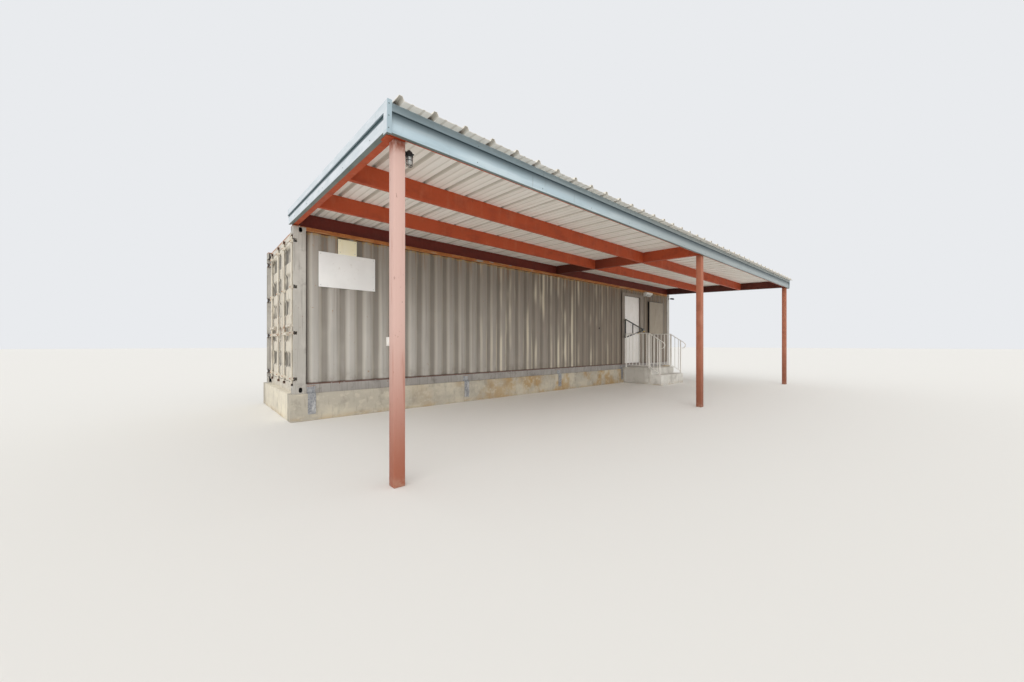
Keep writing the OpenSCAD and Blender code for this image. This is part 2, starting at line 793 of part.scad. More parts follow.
first_post = 100;
mid_x = box_l / 2;
rafter_x = [rake_in + rafter_w / 2, mid_x, box_l - rake_in - rafter_w / 2];
post_x = [first_post, mid_x, box_l - rake_in - post_w / 2];
post_front = [post_back - post_y, -post_y, -post_y];
purlin_w = 64;
purlin_t = 3;
purlin_lip = 22;
ledger_y = 60;
ledger_w = 64;
ledger_t = 5;
ledger_s = (ledger_y - frame_front) / cos(slope);
purlin_s = [ledger_s / 3, ledger_s * 2 / 3];
cap_plate_t = 8;
cap_plate_out = 10;

// A post from the ground to the underside of its rafter's bearing plate
module canopy_posts() color(oxide) place()
  for (i = [0 : 2]) {
    x = post_x[i];
    y = post_front[i];
    difference() {
      box([x - post_w / 2, y, 0], [x + post_w / 2, y + post_w, eave_z]);
      on_slope() box([x - post_w, -post_w, -beam_h - cap_plate_t], [x + post_w, 6 * post_w, post_w]);
    }
  }

// Hollow rafters from the eave beam to the ledger, each with a bearing plate on its post
module rafters() color(oxide) place() for (i = [0 : 2]) {
  x = rafter_x[i];
  t = 4;
  near = post_front[i] - frame_front - cap_plate_out;
  far = near + post_w + 2 * cap_plate_out;
  difference() {
    on_slope() box([x - rafter_w / 2, purlin_w, -beam_h], [x + rafter_w / 2, ledger_s + 20, 0]);
    on_slope() box([x - rafter_w / 2 + t, purlin_w + t, t - beam_h],
      [x + rafter_w / 2 - t, ledger_s + 21, -t]);
    // The upper end is cut upright against the ledger
    box([x - rafter_w, ledger_y, roof_z - beam_h], [x + rafter_w, ledger_y + beam_h, eave_z + 2 * beam_h]);
  }
  on_slope() difference() {
    box([min(x - rafter_w / 2, post_x[i] - post_w / 2), near, -beam_h - cap_plate_t],
      [max(x + rafter_w / 2, post_x[i] + post_w / 2), far, 0.5 - beam_h]);
    // The eave beam lies on the plate's front
    box([x - 2 * post_w, -1, -beam_h], [x + 2 * post_w, purlin_w, 1 - beam_h]);
  }
}

// A lipped channel along X in the roof's frame: its back at s, opening up the slope
module purlin(x1, x2, s) difference() {
  t = purlin_t;
  box([x1, s, -beam_h], [x2, s + purlin_w, 0]);
  box([x1 - 1, s + t, t - beam_h], [x2 + 1, s + purlin_w - t, -t]);
  box([x1 - 1, s + purlin_w - t - 1, purlin_lip - beam_h], [x2 + 1, s + purlin_w + 1, -purlin_lip]);
}

module purlins() color(oxide) place() on_slope()
  for (i = [0, 1], s = purlin_s)
    purlin(rafter_x[i] + rafter_w / 2, rafter_x[i + 1] - rafter_w / 2, s);

// The eave beam closes the rafters' front ends, its back to the fascia
module eave_beam() color(oxide) place() on_slope() purlin(rake_in, box_l - rake_in, 0);

// The ledger stands on the container's top rail and carries the rear of the roof
module ledger() color([0.29, 0.08, 0.06]) place() {
  y1 = ledger_y;
  y2 = ledger_y + ledger_w;
  t = ledger_t;
  z1 = eave_z + (y1 - frame_front) * roof_rise - 0.3;
  z2 = z1 + ledger_w * roof_rise;
  rotate([90, 0, 90]) linear_extrude(box_l) polygon([
    [y1, roof_z], [y2, roof_z], [y2, roof_z + t], [y1 + t, roof_z + t],
    [y1 + t, z1 - t], [y2, z2 - t], [y2, z2], [y1, z1]]);
}

rib_first = rake_in + 33;
minor_h = 4;
sheet_rear = 178;

// Corners of one rib at x, its foot at level z
function rib(x, foot, head, high, z) =
  [[x - foot, z], [x - head, z + high], [x + head, z + high], [x + foot, z]];

// Every main rib from the first on, with two low stiffening ribs after each. The inner
// line of the sheet is narrower by thin.
function rib_line(count, thin, z) = [for (i = [0 : count])
  for (k = [0 : 2])
    for (p = rib(rib_first + (i + k / 3) * rib_pitch, (k == 0 ? 32 : 15) - thin,
      (k == 0 ? 14 : 8) - thin, k == 0 ? rib_h : minor_h, z)) p];

// Ribbed roof sheets: ribs up, running down the slope
module canopy_roof() color(off_white) place() on_slope() {
  x1 = rake_in;
  x2 = box_l - rake_in;
  count = floor((x2 - rib_first - rib_pitch / 3 * 2 - 20) / rib_pitch);
  up = rib_line(count, 0, rib_sheet_t);
  down = rib_line(count, 1.4, 0);
  back = [for (i = [len(down) - 1 : -1 : 0]) down[i]];
  translate([0, ledger_s + sheet_rear, 0]) rotate([90, 0, 0])
    linear_extrude(ledger_s + sheet_rear + sheet_over)
      polygon(concat([[x1, 0], [x1, rib_sheet_t]], up, [[x2, rib_sheet_t], [x2, 0]], back));
}

// Section of a trim: a top flange, an upper band that stands out, and a lower face with a
// return. The outer face looks towards -X, the top is at y = 0, and it is deep towards +X.
module trim_section(deep, high, band) {
  t = 3;
  step = 10;
  polygon([[0, 0], [deep, 0], [deep, -t], [t, -t], [t, t - band], [step + t, t - band],
    [step + t, t - high], [deep, t - high], [deep, -high], [step, -high], [step, -band],
    [0, -band]]);
}

band_h = 66;

// The fascia stands against the eave beam, under the sheets and between the corner caps
module front_fascia() color(trim_blue) place() on_slope()
  translate([cap_t - side_reach, -trim_t, 0]) rotate([90, 0, 90])
    linear_extrude(box_l + 2 * (side_reach - cap_t)) trim_section(trim_t, trim_h, band_h);

// The rake trims stand this far over the sheets' underside, and end this far past the ledger
rake_up = 20;
rake_over = 46;
rake_band = 97;
cap_legs = [trim_t + cap_t, 70];
cap_more = [2, 14];

// A trim down each end of the canopy to the rafter's lower edge, its front corner wrapped
// in an upright cap
module rake_trims() color(trim_blue) place() on_slope() for (side = [0, 1])
  translate([side * box_l, 0, 0]) mirror([side, 0, 0]) {
    translate([cap_t - side_reach, ledger_s + rake_over, rake_up]) rotate([90, 0, 0])
      linear_extrude(ledger_s + rake_over) trim_section(trim_t, rake_up + beam_h, rake_band);
    cap_high = rake_up + cap_more[0] + trim_h + cap_more[1];
    translate([-side_reach, -trim_t - cap_t, -trim_h - cap_more[1]]) {
      cube([cap_t, cap_legs[1], cap_high]);
      cube([cap_legs[0], cap_t, cap_high]);
    }
  }

/* Fittings */

sign_x = 356;
sign_top = roof_z - 343;
notice_x = 645;

module sign_board() color("white") place()
  box([sign_x, -2, sign_top - sign_h], [sign_x + sign_w, face_in, sign_top]);

module notice_box() color([0.88, 0.84, 0.66]) place()
  box([notice_x, -16, sign_top], [notice_x + notice_w, face_in, sign_top + notice_h]);

outlet = [105, 60, 160];
outlet_at = [1452, base_h + 736];

module outlet_box() color("white") place()
  box([outlet_at[0], face_in - outlet[1], outlet_at[1]],
    [outlet_at[0] + outlet[0], face_in, outlet_at[1] + outlet[2]]);

light_in = [155, 199];

// Wall light with a sloping lens under its hood
module wall_light() color("white") place()
  translate([door_x + door_w + light_in[0] + 40, 0, roof_z - light_in[1]])
    rotate([90, 0, 90]) linear_extrude(light_w)
      polygon([[face_in, 0], [-30, 0], [-120, 70], [-120, 122], [face_in, 122]]);

flood_drop = 394;

// Floodlight on the side of the first post: a back box, an arm and a lamp that hangs down
module floodlight() color([0.1, 0.1, 0.1]) place()
  translate([first_post + post_w / 2, post_front[0] + post_w / 2, eave_z - flood_drop]) {
    box([0, -28, 20], [12, 28, 150]);
    box([10, -20, 118], [70, 20, 158]);
    translate([78, 0, 142]) rotate([90, 0, 0]) cylinder(h = 44, r = 14, center = true);
    translate([40, 0, 124]) rotate([0, 168, 0]) cylinder(h = 104, r1 = 24, r2 = 34);
  }

camera_in = 70;
camera_drop = 110;

// Security camera on an arm from the post at the blind end, looking down and outwards
module security_camera() color([0.08, 0.08, 0.08]) place()
  translate([box_l - camera_in + 50, 0, roof_z - cast[2] - camera_drop + 100]) {
    box([-48, -8, -45], [0, 0, 5]);
    box([-32, -80, -28], [-16, -6, -12]);
    translate([-24, -66, -24]) rotate([99, 0, 0]) cylinder(h = 128, r = 30);
  }

foundation_sides();
foundation_ends();
tie_plates();
entry_steps();
railing_left();
railing_right();
floor_deck();
cross_members();
bottom_rails();
corner_castings();
corner_posts();
top_rails();
cargo_end_frame();
blind_end_rails();
container_roof();
blind_end_wall();
rear_wall();
front_wall_left();
front_wall_over_door();
front_wall_right();
door_frame();
personnel_door();
door_knob();
lock_bar();
padlock();
window_frame();
window_glass();
window_shutter();
cargo_door_front();
cargo_door_rear();
lock_rods_front();
lock_rods_rear();
hinge_lugs();
rod_keepers();
canopy_posts();
rafters();
purlins();
eave_beam();
ledger();
canopy_roof();
front_fascia();
rake_trims();
sign_board();
notice_box();
outlet_box();
wall_light();
floodlight();
security_camera();
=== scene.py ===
"""Looks of a shipping container cabin with a lean-to canopy.

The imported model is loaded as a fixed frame. Each sub-assembly is a class that finishes its own
pieces and adds the small parts that the frame leaves out, such as screws, seals and welds. All
lengths are in metres on the frame's own axes: +X runs along the container from the cargo doors to
the blind end, the canopy stands on the -Y side, and Z is the height over the ground.
"""

import logging
import math
from collections.abc import Iterable
from dataclasses import dataclass
from enum import Enum
from functools import cache

import bmesh
import bpy
from bmesh.types import BMEdge, BMesh, BMFace, BMVert
from bpy.types import Camera, Light, Material, Mesh, NodeSocket, NodeTree, Object, ShaderNode
from mathutils import Matrix, Vector, noise


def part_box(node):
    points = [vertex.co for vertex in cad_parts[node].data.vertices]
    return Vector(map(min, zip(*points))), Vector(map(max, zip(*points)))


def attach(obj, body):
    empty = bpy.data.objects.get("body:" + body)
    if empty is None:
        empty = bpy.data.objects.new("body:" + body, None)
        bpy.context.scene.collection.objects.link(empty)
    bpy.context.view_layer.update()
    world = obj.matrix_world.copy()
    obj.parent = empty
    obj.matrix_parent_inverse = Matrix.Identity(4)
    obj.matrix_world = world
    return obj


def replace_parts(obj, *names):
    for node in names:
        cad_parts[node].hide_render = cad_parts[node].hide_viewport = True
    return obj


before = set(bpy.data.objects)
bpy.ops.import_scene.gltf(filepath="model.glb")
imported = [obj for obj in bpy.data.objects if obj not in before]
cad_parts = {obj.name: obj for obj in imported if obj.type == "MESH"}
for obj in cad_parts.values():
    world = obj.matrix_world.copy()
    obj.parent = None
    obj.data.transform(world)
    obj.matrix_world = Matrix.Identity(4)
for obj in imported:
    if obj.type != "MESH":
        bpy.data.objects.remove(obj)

LOG = logging.getLogger("cabin")

# The photograph's frame in pixels, and what was measured in it
IMAGE_W = 1024
IMAGE_H = 682
FOCAL_PX = 370.55
HORIZON_PX = 344.48

# Edges that turn more than this stay crisp, and points nearer than this are one
SHARP_DEG = 32.0
MERGE = 1e-5

# A dented sheet is stiff along its rim, for this share of a dent's width, and has dents within its
# dents, this many times finer
STIFF_RIM = 0.3
FINER = 3.0

# The container's corners: the lower one at the cargo end on the canopy's side, and its opposite
CORNER, FAR_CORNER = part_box("corner_castings")

# Rise of the canopy's roof for each metre towards the container, and the eave beam's width
RISE = 0.041
BEAM_W = 0.064

# Points as (radius, distance along the axis), from pole to pole
Profile = tuple[tuple[float, float], ...]
Span = tuple[float, float]

LEFTWARD = Vector((-1, 0, 0))
RIGHTWARD = Vector((1, 0, 0))
OUTWARD = Vector((0, -1, 0))
UPWARD = Vector((0, 0, 1))


class Body(str, Enum):
    """The bodies that pieces ride on."""

    CABIN = "cabin"
    LEAF = "personnel_leaf"
    BAR = "security_bar"
    CARGO_FRONT = "cargo_leaf_front"
    CARGO_REAR = "cargo_leaf_rear"


class Side(str, Enum):
    """The long side of the container that a cargo leaf hangs on."""

    FRONT = "front"
    REAR = "rear"


class Axis(int, Enum):
    """An axis of the frame, by its place in a vector."""

    X = 0
    Y = 1
    Z = 2


def spot(x: float, y: float, z: float) -> Vector:
    """Give a place from the container's corner at the cargo end, with its height over the ground."""
    return Vector((CORNER.x + x, CORNER.y + y, z))


def roof_frame() -> Matrix:
    """Give the canopy roof's own frame.

    Returns:
        The matrix from it. Its X starts at the container's cargo end, its Y runs up the slope from
        the front of the canopy's beams, and its Z is 0 at the sheets' underside.
    """
    low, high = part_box("eave_beam")
    tilt = math.atan(RISE)
    edge = Vector((CORNER.x, low.y, high.z - BEAM_W * math.sin(tilt)))
    return Matrix.Translation(edge) @ Matrix.Rotation(tilt, 4, "X")


ROOF = roof_frame()
ROOF_OUT = ROOF.to_3x3() @ UPWARD
ROOF_FRONT = ROOF.to_3x3() @ OUTWARD


def srgb(code: str) -> tuple[float, float, float, float]:
    """Turn an sRGB hex value into a linear colour.

    Args:
        code: The colour as #rrggbb.

    Returns:
        Red, green, blue and an alpha of 1.
    """
    parts = [int(code[i : i + 2], 16) / 255 for i in (1, 3, 5)]
    return (*[p / 12.92 if p <= 0.04045 else ((p + 0.055) / 1.055) ** 2.4 for p in parts], 1.0)


def per_mm(size: float) -> float:
    """Give the texture scale at which a pattern's features are this many millimetres across."""
    return 1000.0 / size


def add(tree: NodeTree, kind: str, inputs: dict | None = None, **settings: object) -> ShaderNode:
    """Add a shader node with its settings, its values and its links.

    Args:
        tree: The material's node tree.
        kind: The node's type, without the word ShaderNode.
        inputs: For an input's name or number, its value or the output that it takes.
        settings: The node's own properties.

    Returns:
        The new node.
    """
    made = tree.nodes.new("ShaderNode" + kind)
    for name, value in settings.items():
        setattr(made, name, value)
    for name, value in (inputs or {}).items():
        if isinstance(value, NodeSocket):
            tree.links.new(value, made.inputs[name])
        else:
            made.inputs[name].default_value = value
    return made


# A pattern, the level where a layer starts on it and the level where the layer is full
Limit = tuple[NodeSocket, float, float]


class Coat:
    """A surface while it is painted: layers over a base colour, then relief and a shader."""

    def __init__(self, name: str, colour: str) -> None:
        """Start a material.

        Args:
            name: The material's name.
            colour: The base colour, as an sRGB hex value.
        """
        self.material: Material = bpy.data.materials.new(name)
        self.material.use_nodes = True
        self.tree: NodeTree = self.material.node_tree
        self.tree.nodes.clear()
        self.place = add(self.tree, "TexCoord").outputs["Object"]
        self.axes = add(self.tree, "SeparateXYZ", {0: self.place}).outputs
        self.colour: tuple | NodeSocket = srgb(colour)
        self.normal: NodeSocket | None = None

    def grain(self, size: tuple[float, float, float], detail: float = 4.0, seed: float = 0.0) -> NodeSocket:
        """Draw soft noise.

        Args:
            size: The features' size along X, Y and Z, in millimetres.
            detail: How many finer octaves it has.
            seed: Moves the pattern, so that two layers differ.

        Returns:
            Values round 0.5.
        """
        turn = {"Vector": self.place, "Location": (seed, 1.7 * seed, 0.6 * seed),
                "Scale": [per_mm(s) for s in size]}
        where = add(self.tree, "Mapping", turn).outputs[0]
        look = {"Vector": where, "Scale": 1.0, "Detail": detail, "Roughness": 0.58}
        return add(self.tree, "TexNoise", look).outputs["Fac"]

    def cells(self, size: float, random_tone: bool = True) -> NodeSocket:
        """Draw crystal-like cells.

        Args:
            size: A cell's size in millimetres.
            random_tone: Whether each cell has its own tone, and not the distance to its centre.

        Returns:
            Values from 0 to 1.
        """
        made = add(self.tree, "TexVoronoi", {"Vector": self.place, "Scale": per_mm(size)})
        return made.outputs["Color" if random_tone else "Distance"]

    def over(self, place: Vector, normal: Vector) -> NodeSocket:
        """Measure how far the surface lies over a plane, in metres along the plane's normal."""
        off = add(self.tree, "VectorMath", {0: self.place, 1: place}, operation="SUBTRACT").outputs[0]
        return add(self.tree, "VectorMath", {0: off, 1: normal}, operation="DOT_PRODUCT").outputs["Value"]

    def depth_in(self, low: Vector, high: Vector) -> NodeSocket:
        """Measure how deep the surface lies behind the faces of a box.

        Args:
            low: The box's lowest corner.
            high: The box's highest corner.

        Returns:
            The depth in metres: 0 on the box's faces, and more inside.
        """
        middle, half = (low + high) / 2, (high - low) / 2
        off = add(self.tree, "VectorMath", {0: self.place, 1: middle}, operation="SUBTRACT").outputs[0]
        out = add(self.tree, "VectorMath", {0: off}, operation="ABSOLUTE").outputs[0]
        deep = add(self.tree, "VectorMath", {0: half, 1: out}, operation="SUBTRACT").outputs[0]
        x, y, z = add(self.tree, "SeparateXYZ", {0: deep}).outputs
        least = add(self.tree, "Math", {0: x, 1: y}, operation="MINIMUM").outputs[0]
        return add(self.tree, "Math", {0: least, 1: z}, operation="MINIMUM").outputs[0]

    def reach(self, axis: Axis, start: float, end: float) -> Limit:
        """Limit a layer along X or Y, between two places measured from the container's corner."""
        return self.axes[axis], CORNER[axis] + start, CORNER[axis] + end

    def share(self, *limits: Limit, strength: float = 1.0) -> NodeSocket:
        """Work out where a layer shows, as the product of several patterns.

        Args:
            limits: For each pattern, the level where the layer starts and the one where it is full.
            strength: The most that the layer covers.

        Returns:
            Values from 0 to the strength.
        """
        product: NodeSocket | None = None
        for pattern, low, high in limits:
            top = strength if product is None else 1.0
            span = {"Value": pattern, "From Min": low, "From Max": high, "To Max": top}
            part = add(self.tree, "MapRange", span, interpolation_type="SMOOTHSTEP").outputs[0]
            if product is None:
                product = part
            else:
                product = add(self.tree, "Math", {0: product, 1: part}, operation="MULTIPLY").outputs[0]
        return product

    def lay(self, colour: str, *limits: Limit, strength: float = 1.0) -> NodeSocket:
        """Lay a colour over what is there, and return where it shows.

        Args:
            colour: The layer's colour, as an sRGB hex value.
            limits: The patterns that place it, as for share().
            strength: The most that it covers.

        Returns:
            The layer's cover.
        """
        cover = self.share(*limits, strength=strength)
        mixed = add(self.tree, "Mix", {0: cover, 6: self.colour, 7: srgb(colour)}, data_type="RGBA")
        self.colour = mixed.outputs[2]
        return cover

    def relief(self, height: NodeSocket, depth: float) -> None:
        """Raise and sink the surface by a pattern.

        Args:
            height: The pattern.
            depth: How far its high lies over its low, in millimetres.
        """
        links = {"Height": height, "Distance": depth / 1000.0, "Strength": 1.0}
        if self.normal:
            links["Normal"] = self.normal
        self.normal = add(self.tree, "Bump", links).outputs[0]

    def spread(self, pattern: NodeSocket, start: float, end: float) -> NodeSocket:
        """Turn a pattern round 0.5 into values between start and end, as for a roughness."""
        span = {"Value": pattern, "From Min": 0.3, "From Max": 0.7, "To Min": start, "To Max": end}
        return add(self.tree, "MapRange", span).outputs[0]

    def done(self, **sockets: float | tuple | NodeSocket) -> Material:
        """Close the material with a Principled shader.

        Args:
            sockets: The shader's inputs, with _ for a space, such as transmission_weight.

        Returns:
            The finished material.
        """
        names = {name.lower().replace(" ", "_"): name for name in
                 ("Roughness", "Metallic", "IOR", "Transmission Weight")}
        inputs = {names[key]: value for key, value in sockets.items()}
        inputs["Base Color"] = self.colour
        if self.normal:
            inputs["Normal"] = self.normal
        shader = add(self.tree, "BsdfPrincipled", inputs)
        add(self.tree, "OutputMaterial", {"Surface": shader.outputs[0]})
        return self.material


@dataclass(frozen=True)
class Finish:
    """What a surface is made of. Each kind paints its own material."""

    name: str

    def make(self) -> Material:
        """Paint the material."""
        raise NotImplementedError


@cache
def material_of(finish: Finish) -> Material:
    """Give a finish's material, painted the first time that it is asked for."""
    return finish.make()


@dataclass(frozen=True)
class ChalkedPaint(Finish):
    """Alkyd paint sprayed on corrugated steel. Sun has chalked it and rain has streaked it; painted shade
    darkens its valleys and its top, and painted highlight pales its slopes.
    """

    paint: str = "#aca8a1"
    chalk: str = "#bebab3"
    grime_and_shade: str = "#6f675c"
    wash_and_highlight: str = "#dcd3bc"
    rust: str = "#94683b"
    ochre: str = "#b8924f"
    foot_rust: str = "#543a31"
    brown: str = "#7b6e60"
    # Along X, where the brown starts and is full and where the pale streaks on the slopes start, and the
    # sheet's top and foot. A place that is off the container leaves its layer out
    brown_x: Span = (20.0, 30.0)
    streaks_from: float = -3.4
    top: float = 9.0
    foot: float = -9.0
    depth_axis: Axis = Axis.Y
    crest: float = 0.0
    valley: float = 1.0

    def make(self) -> Material:
        """Streak the paint down the waves, paint shade into its valleys and its top and highlight onto its
        slopes, and let rust run from the top.
        """
        coat = Coat(self.name, self.paint)
        x, _, z = coat.axes
        depth = coat.axes[self.depth_axis]
        wave = self.valley - self.crest
        slope = ((depth, self.crest + 0.08 * wave, self.crest + 0.3 * wave),
                 (depth, self.crest + 0.95 * wave, self.crest + 0.72 * wave))
        coat.lay(self.chalk, (coat.grain((1100, 1100, 1500)), 0.42, 0.66), strength=0.6)
        coat.lay(self.brown, (x, *self.brown_x), strength=0.95)
        # Painted shade: browner towards the sheet's top, as under the canopy
        coat.lay(self.brown, (z, self.top - 1.9, self.top), strength=0.4)
        # Painted shade: the valleys of the waves darker, broken up by noise
        coat.lay(self.grime_and_shade, (depth, self.crest + 0.3 * wave, self.valley),
                 (coat.grain((260, 260, 2400), seed=2.0), 0.1, 0.45), strength=0.6)
        coat.lay(self.grime_and_shade, (coat.grain((60, 60, 2300), 5.0), 0.52, 0.74), strength=0.35)
        # Pale streaks on the slopes of the waves: partly paint washed by rain, partly painted highlight
        coat.lay(self.wash_and_highlight, *slope, (coat.grain((180, 180, 2600), 3.0, 4.0), 0.3, 0.6), strength=0.14)
        coat.lay(self.wash_and_highlight, *slope, (coat.grain((420, 420, 1900), 2.0, 6.0), 0.44, 0.6),
                 (x, self.streaks_from, self.streaks_from + 2.0), (x, self.streaks_from + 6.5, self.streaks_from + 4.5),
                 strength=0.75)
        rust = coat.grain((34, 34, 1300), 5.0, 9.0)
        coat.lay(self.rust, (z, self.top - 0.5, self.top), (rust, 0.5, 0.66), strength=0.5)
        coat.lay(self.ochre, (z, self.top - 0.05, self.top - 0.008), (rust, 0.4, 0.54), strength=0.7)
        coat.lay(self.rust, (coat.grain((55, 55, 70), 6.0, 12.0), 0.67, 0.73), strength=0.6)
        splash = coat.grain((120, 120, 160), 5.0, 15.0)
        coat.lay(self.grime_and_shade, (z, self.foot + 0.25, self.foot), (splash, 0.38, 0.68), strength=0.5)
        coat.lay(self.foot_rust, (z, self.foot + 0.03, self.foot + 0.006), strength=0.85)
        coat.relief(coat.grain((1.2, 1.2, 1.2), 2.0), 0.25)
        coat.relief(splash, 1.0)
        return coat.done(roughness=coat.spread(rust, 0.5, 0.72), ior=1.5)


@dataclass(frozen=True)
class WeatheredPaint(Finish):
    """Satin alkyd on thick frame steel: dirt lies in it, and it rusts in spots and at its edges."""

    paint: str = "#b3afa7"
    worn: str = "#c3bfb7"
    dirt: str = "#88817a"
    rust: str = "#7d4a2c"
    rust_spots: float = 0.67
    edge_top: float = 99.0
    edge: float = 0.012
    edge_rust: str = "#5b2f20"
    dark: str = "#14110f"
    hollow: bool = False

    def make(self) -> Material:
        """Mottle the paint, streak it faintly, spot it with rust and paint black shade into its hollows."""
        coat = Coat(self.name, self.paint)
        z = coat.axes[Axis.Z]
        coat.lay(self.worn, (coat.grain((240, 240, 420)), 0.45, 0.66), strength=0.8)
        coat.lay(self.dirt, (coat.grain((22, 22, 700), 5.0, 3.0), 0.52, 0.72), strength=0.7)
        coat.lay(self.dirt, (coat.grain((150, 150, 150), 5.0, 8.0), 0.55, 0.75), strength=0.6)
        spots = coat.grain((34, 34, 46), 6.0, 5.0)
        coat.lay(self.rust, (spots, self.rust_spots, self.rust_spots + 0.05), strength=0.85)
        coat.lay(self.edge_rust, (z, self.edge_top - self.edge, self.edge_top - 0.4 * self.edge),
                 (spots, 0.3, 0.42), strength=0.9)
        # Painted shade: the inside of a hollow casting goes near black
        if self.hollow:
            coat.lay(self.dark, (coat.depth_in(CORNER, FAR_CORNER), 0.012, 0.02))
        coat.relief(coat.grain((1.5, 1.5, 1.5), 2.0), 0.2)
        coat.relief(spots, 0.8)
        return coat.done(roughness=coat.spread(spots, 0.42, 0.66), ior=1.5)


@dataclass(frozen=True)
class RustedThrough(Finish):
    """Old paint that rust has lifted off mild steel, bright orange in patches and dark where pitted."""

    rust: str = "#9a5a2f"
    bright: str = "#bd7438"
    ochre: str = "#c9a468"
    pits: str = "#4c2c1c"
    paint: str = "#9b958b"
    drip: str = "#c39a5c"
    dark_lower_edge: str = "#4a2415"
    paint_left: float = 0.62
    drip_edge: float = -9.0

    def make(self) -> Material:
        """Layer the rust's tones, leave some of the paint on it, let it drip off its lower edge and darken
        that edge.
        """
        coat = Coat(self.name, self.rust)
        z = coat.axes[Axis.Z]
        coat.lay(self.bright, (coat.grain((180, 90, 60)), 0.42, 0.64), strength=0.9)
        coat.lay(self.ochre, (coat.grain((420, 60, 26), 5.0, 3.0), 0.52, 0.68), strength=0.7)
        pits = coat.grain((38, 30, 24), 6.0, 5.0)
        coat.lay(self.pits, (pits, 0.56, 0.7), strength=0.8)
        flakes = coat.grain((300, 160, 90), 6.0, 9.0)
        left = coat.lay(self.paint, (flakes, self.paint_left, self.paint_left + 0.03))
        coat.lay(self.drip, (z, self.drip_edge + 0.024, self.drip_edge + 0.01),
                 (coat.grain((260, 60, 60), 4.0, 7.0), 0.36, 0.56), strength=0.55)
        coat.lay(self.dark_lower_edge, (z, self.drip_edge + 0.009, self.drip_edge + 0.006), strength=0.8)
        coat.relief(pits, 1.5)
        coat.relief(left, 0.4)
        return coat.done(roughness=coat.spread(pits, 0.7, 0.9), ior=1.6)


@dataclass(frozen=True)
class CastConcrete(Finish):
    """Cast concrete: pale, pitted by air, stained by drips and clay."""

    base: str = "#aea799"
    cream: str = "#c6beab"
    grey: str = "#8d877c"
    ochre: str = "#a98548"
    pore: str = "#7f796d"
    ochre_level: float = 0.5
    ochre_from: float = -5.5
    ochre_to: float = -0.5
    foot: float = 0.1
    shade_from: float = 99.0
    shade_over: float = 0.15
    pore_mm: float = 22.0

    def make(self) -> Material:
        """Cloud the cement, run drips and clay stains down it, paint shade on it behind a given place and pit
        it.
        """
        coat = Coat(self.name, self.base)
        x, y, z = coat.axes
        coat.lay(self.cream, (coat.grain((900, 900, 500)), 0.4, 0.64), strength=0.85)
        coat.lay(self.grey, (coat.grain((220, 220, 300), 6.0, 2.0), 0.48, 0.7), strength=0.6)
        clay = coat.grain((420, 420, 560), 5.0, 7.0)
        coat.lay(self.ochre, (clay, self.ochre_level - 0.08, self.ochre_level + 0.16),
                 (x, self.ochre_from, self.ochre_to), strength=0.8)
        coat.lay(self.grey, (coat.grain((46, 46, 260), 5.0, 4.0), 0.54, 0.72), strength=0.45)
        coat.lay(self.cream, (coat.grain((120, 120, 90), 6.0, 13.0), 0.52, 0.66), strength=0.5)
        coat.lay(self.ochre, (z, self.foot, 0.0), (coat.grain((260, 260, 90), 5.0, 6.0), 0.4, 0.6),
                 strength=0.35)
        # Painted shade: greyer back from a place in Y, where the steps' platform side lies in shade
        coat.lay(self.grey, (y, self.shade_from, self.shade_from + self.shade_over), strength=0.45)
        pores = coat.cells(self.pore_mm, random_tone=False)
        coat.lay(self.pore, (pores, 0.16, 0.08), (coat.grain((90, 90, 90), 2.0, 11.0), 0.5, 0.6),
                 strength=0.6)
        coat.relief(coat.grain((6, 6, 6), 5.0), 1.2)
        coat.relief(coat.share((pores, 0.08, 0.2)), 1.5)
        return coat.done(roughness=0.88, ior=1.52)


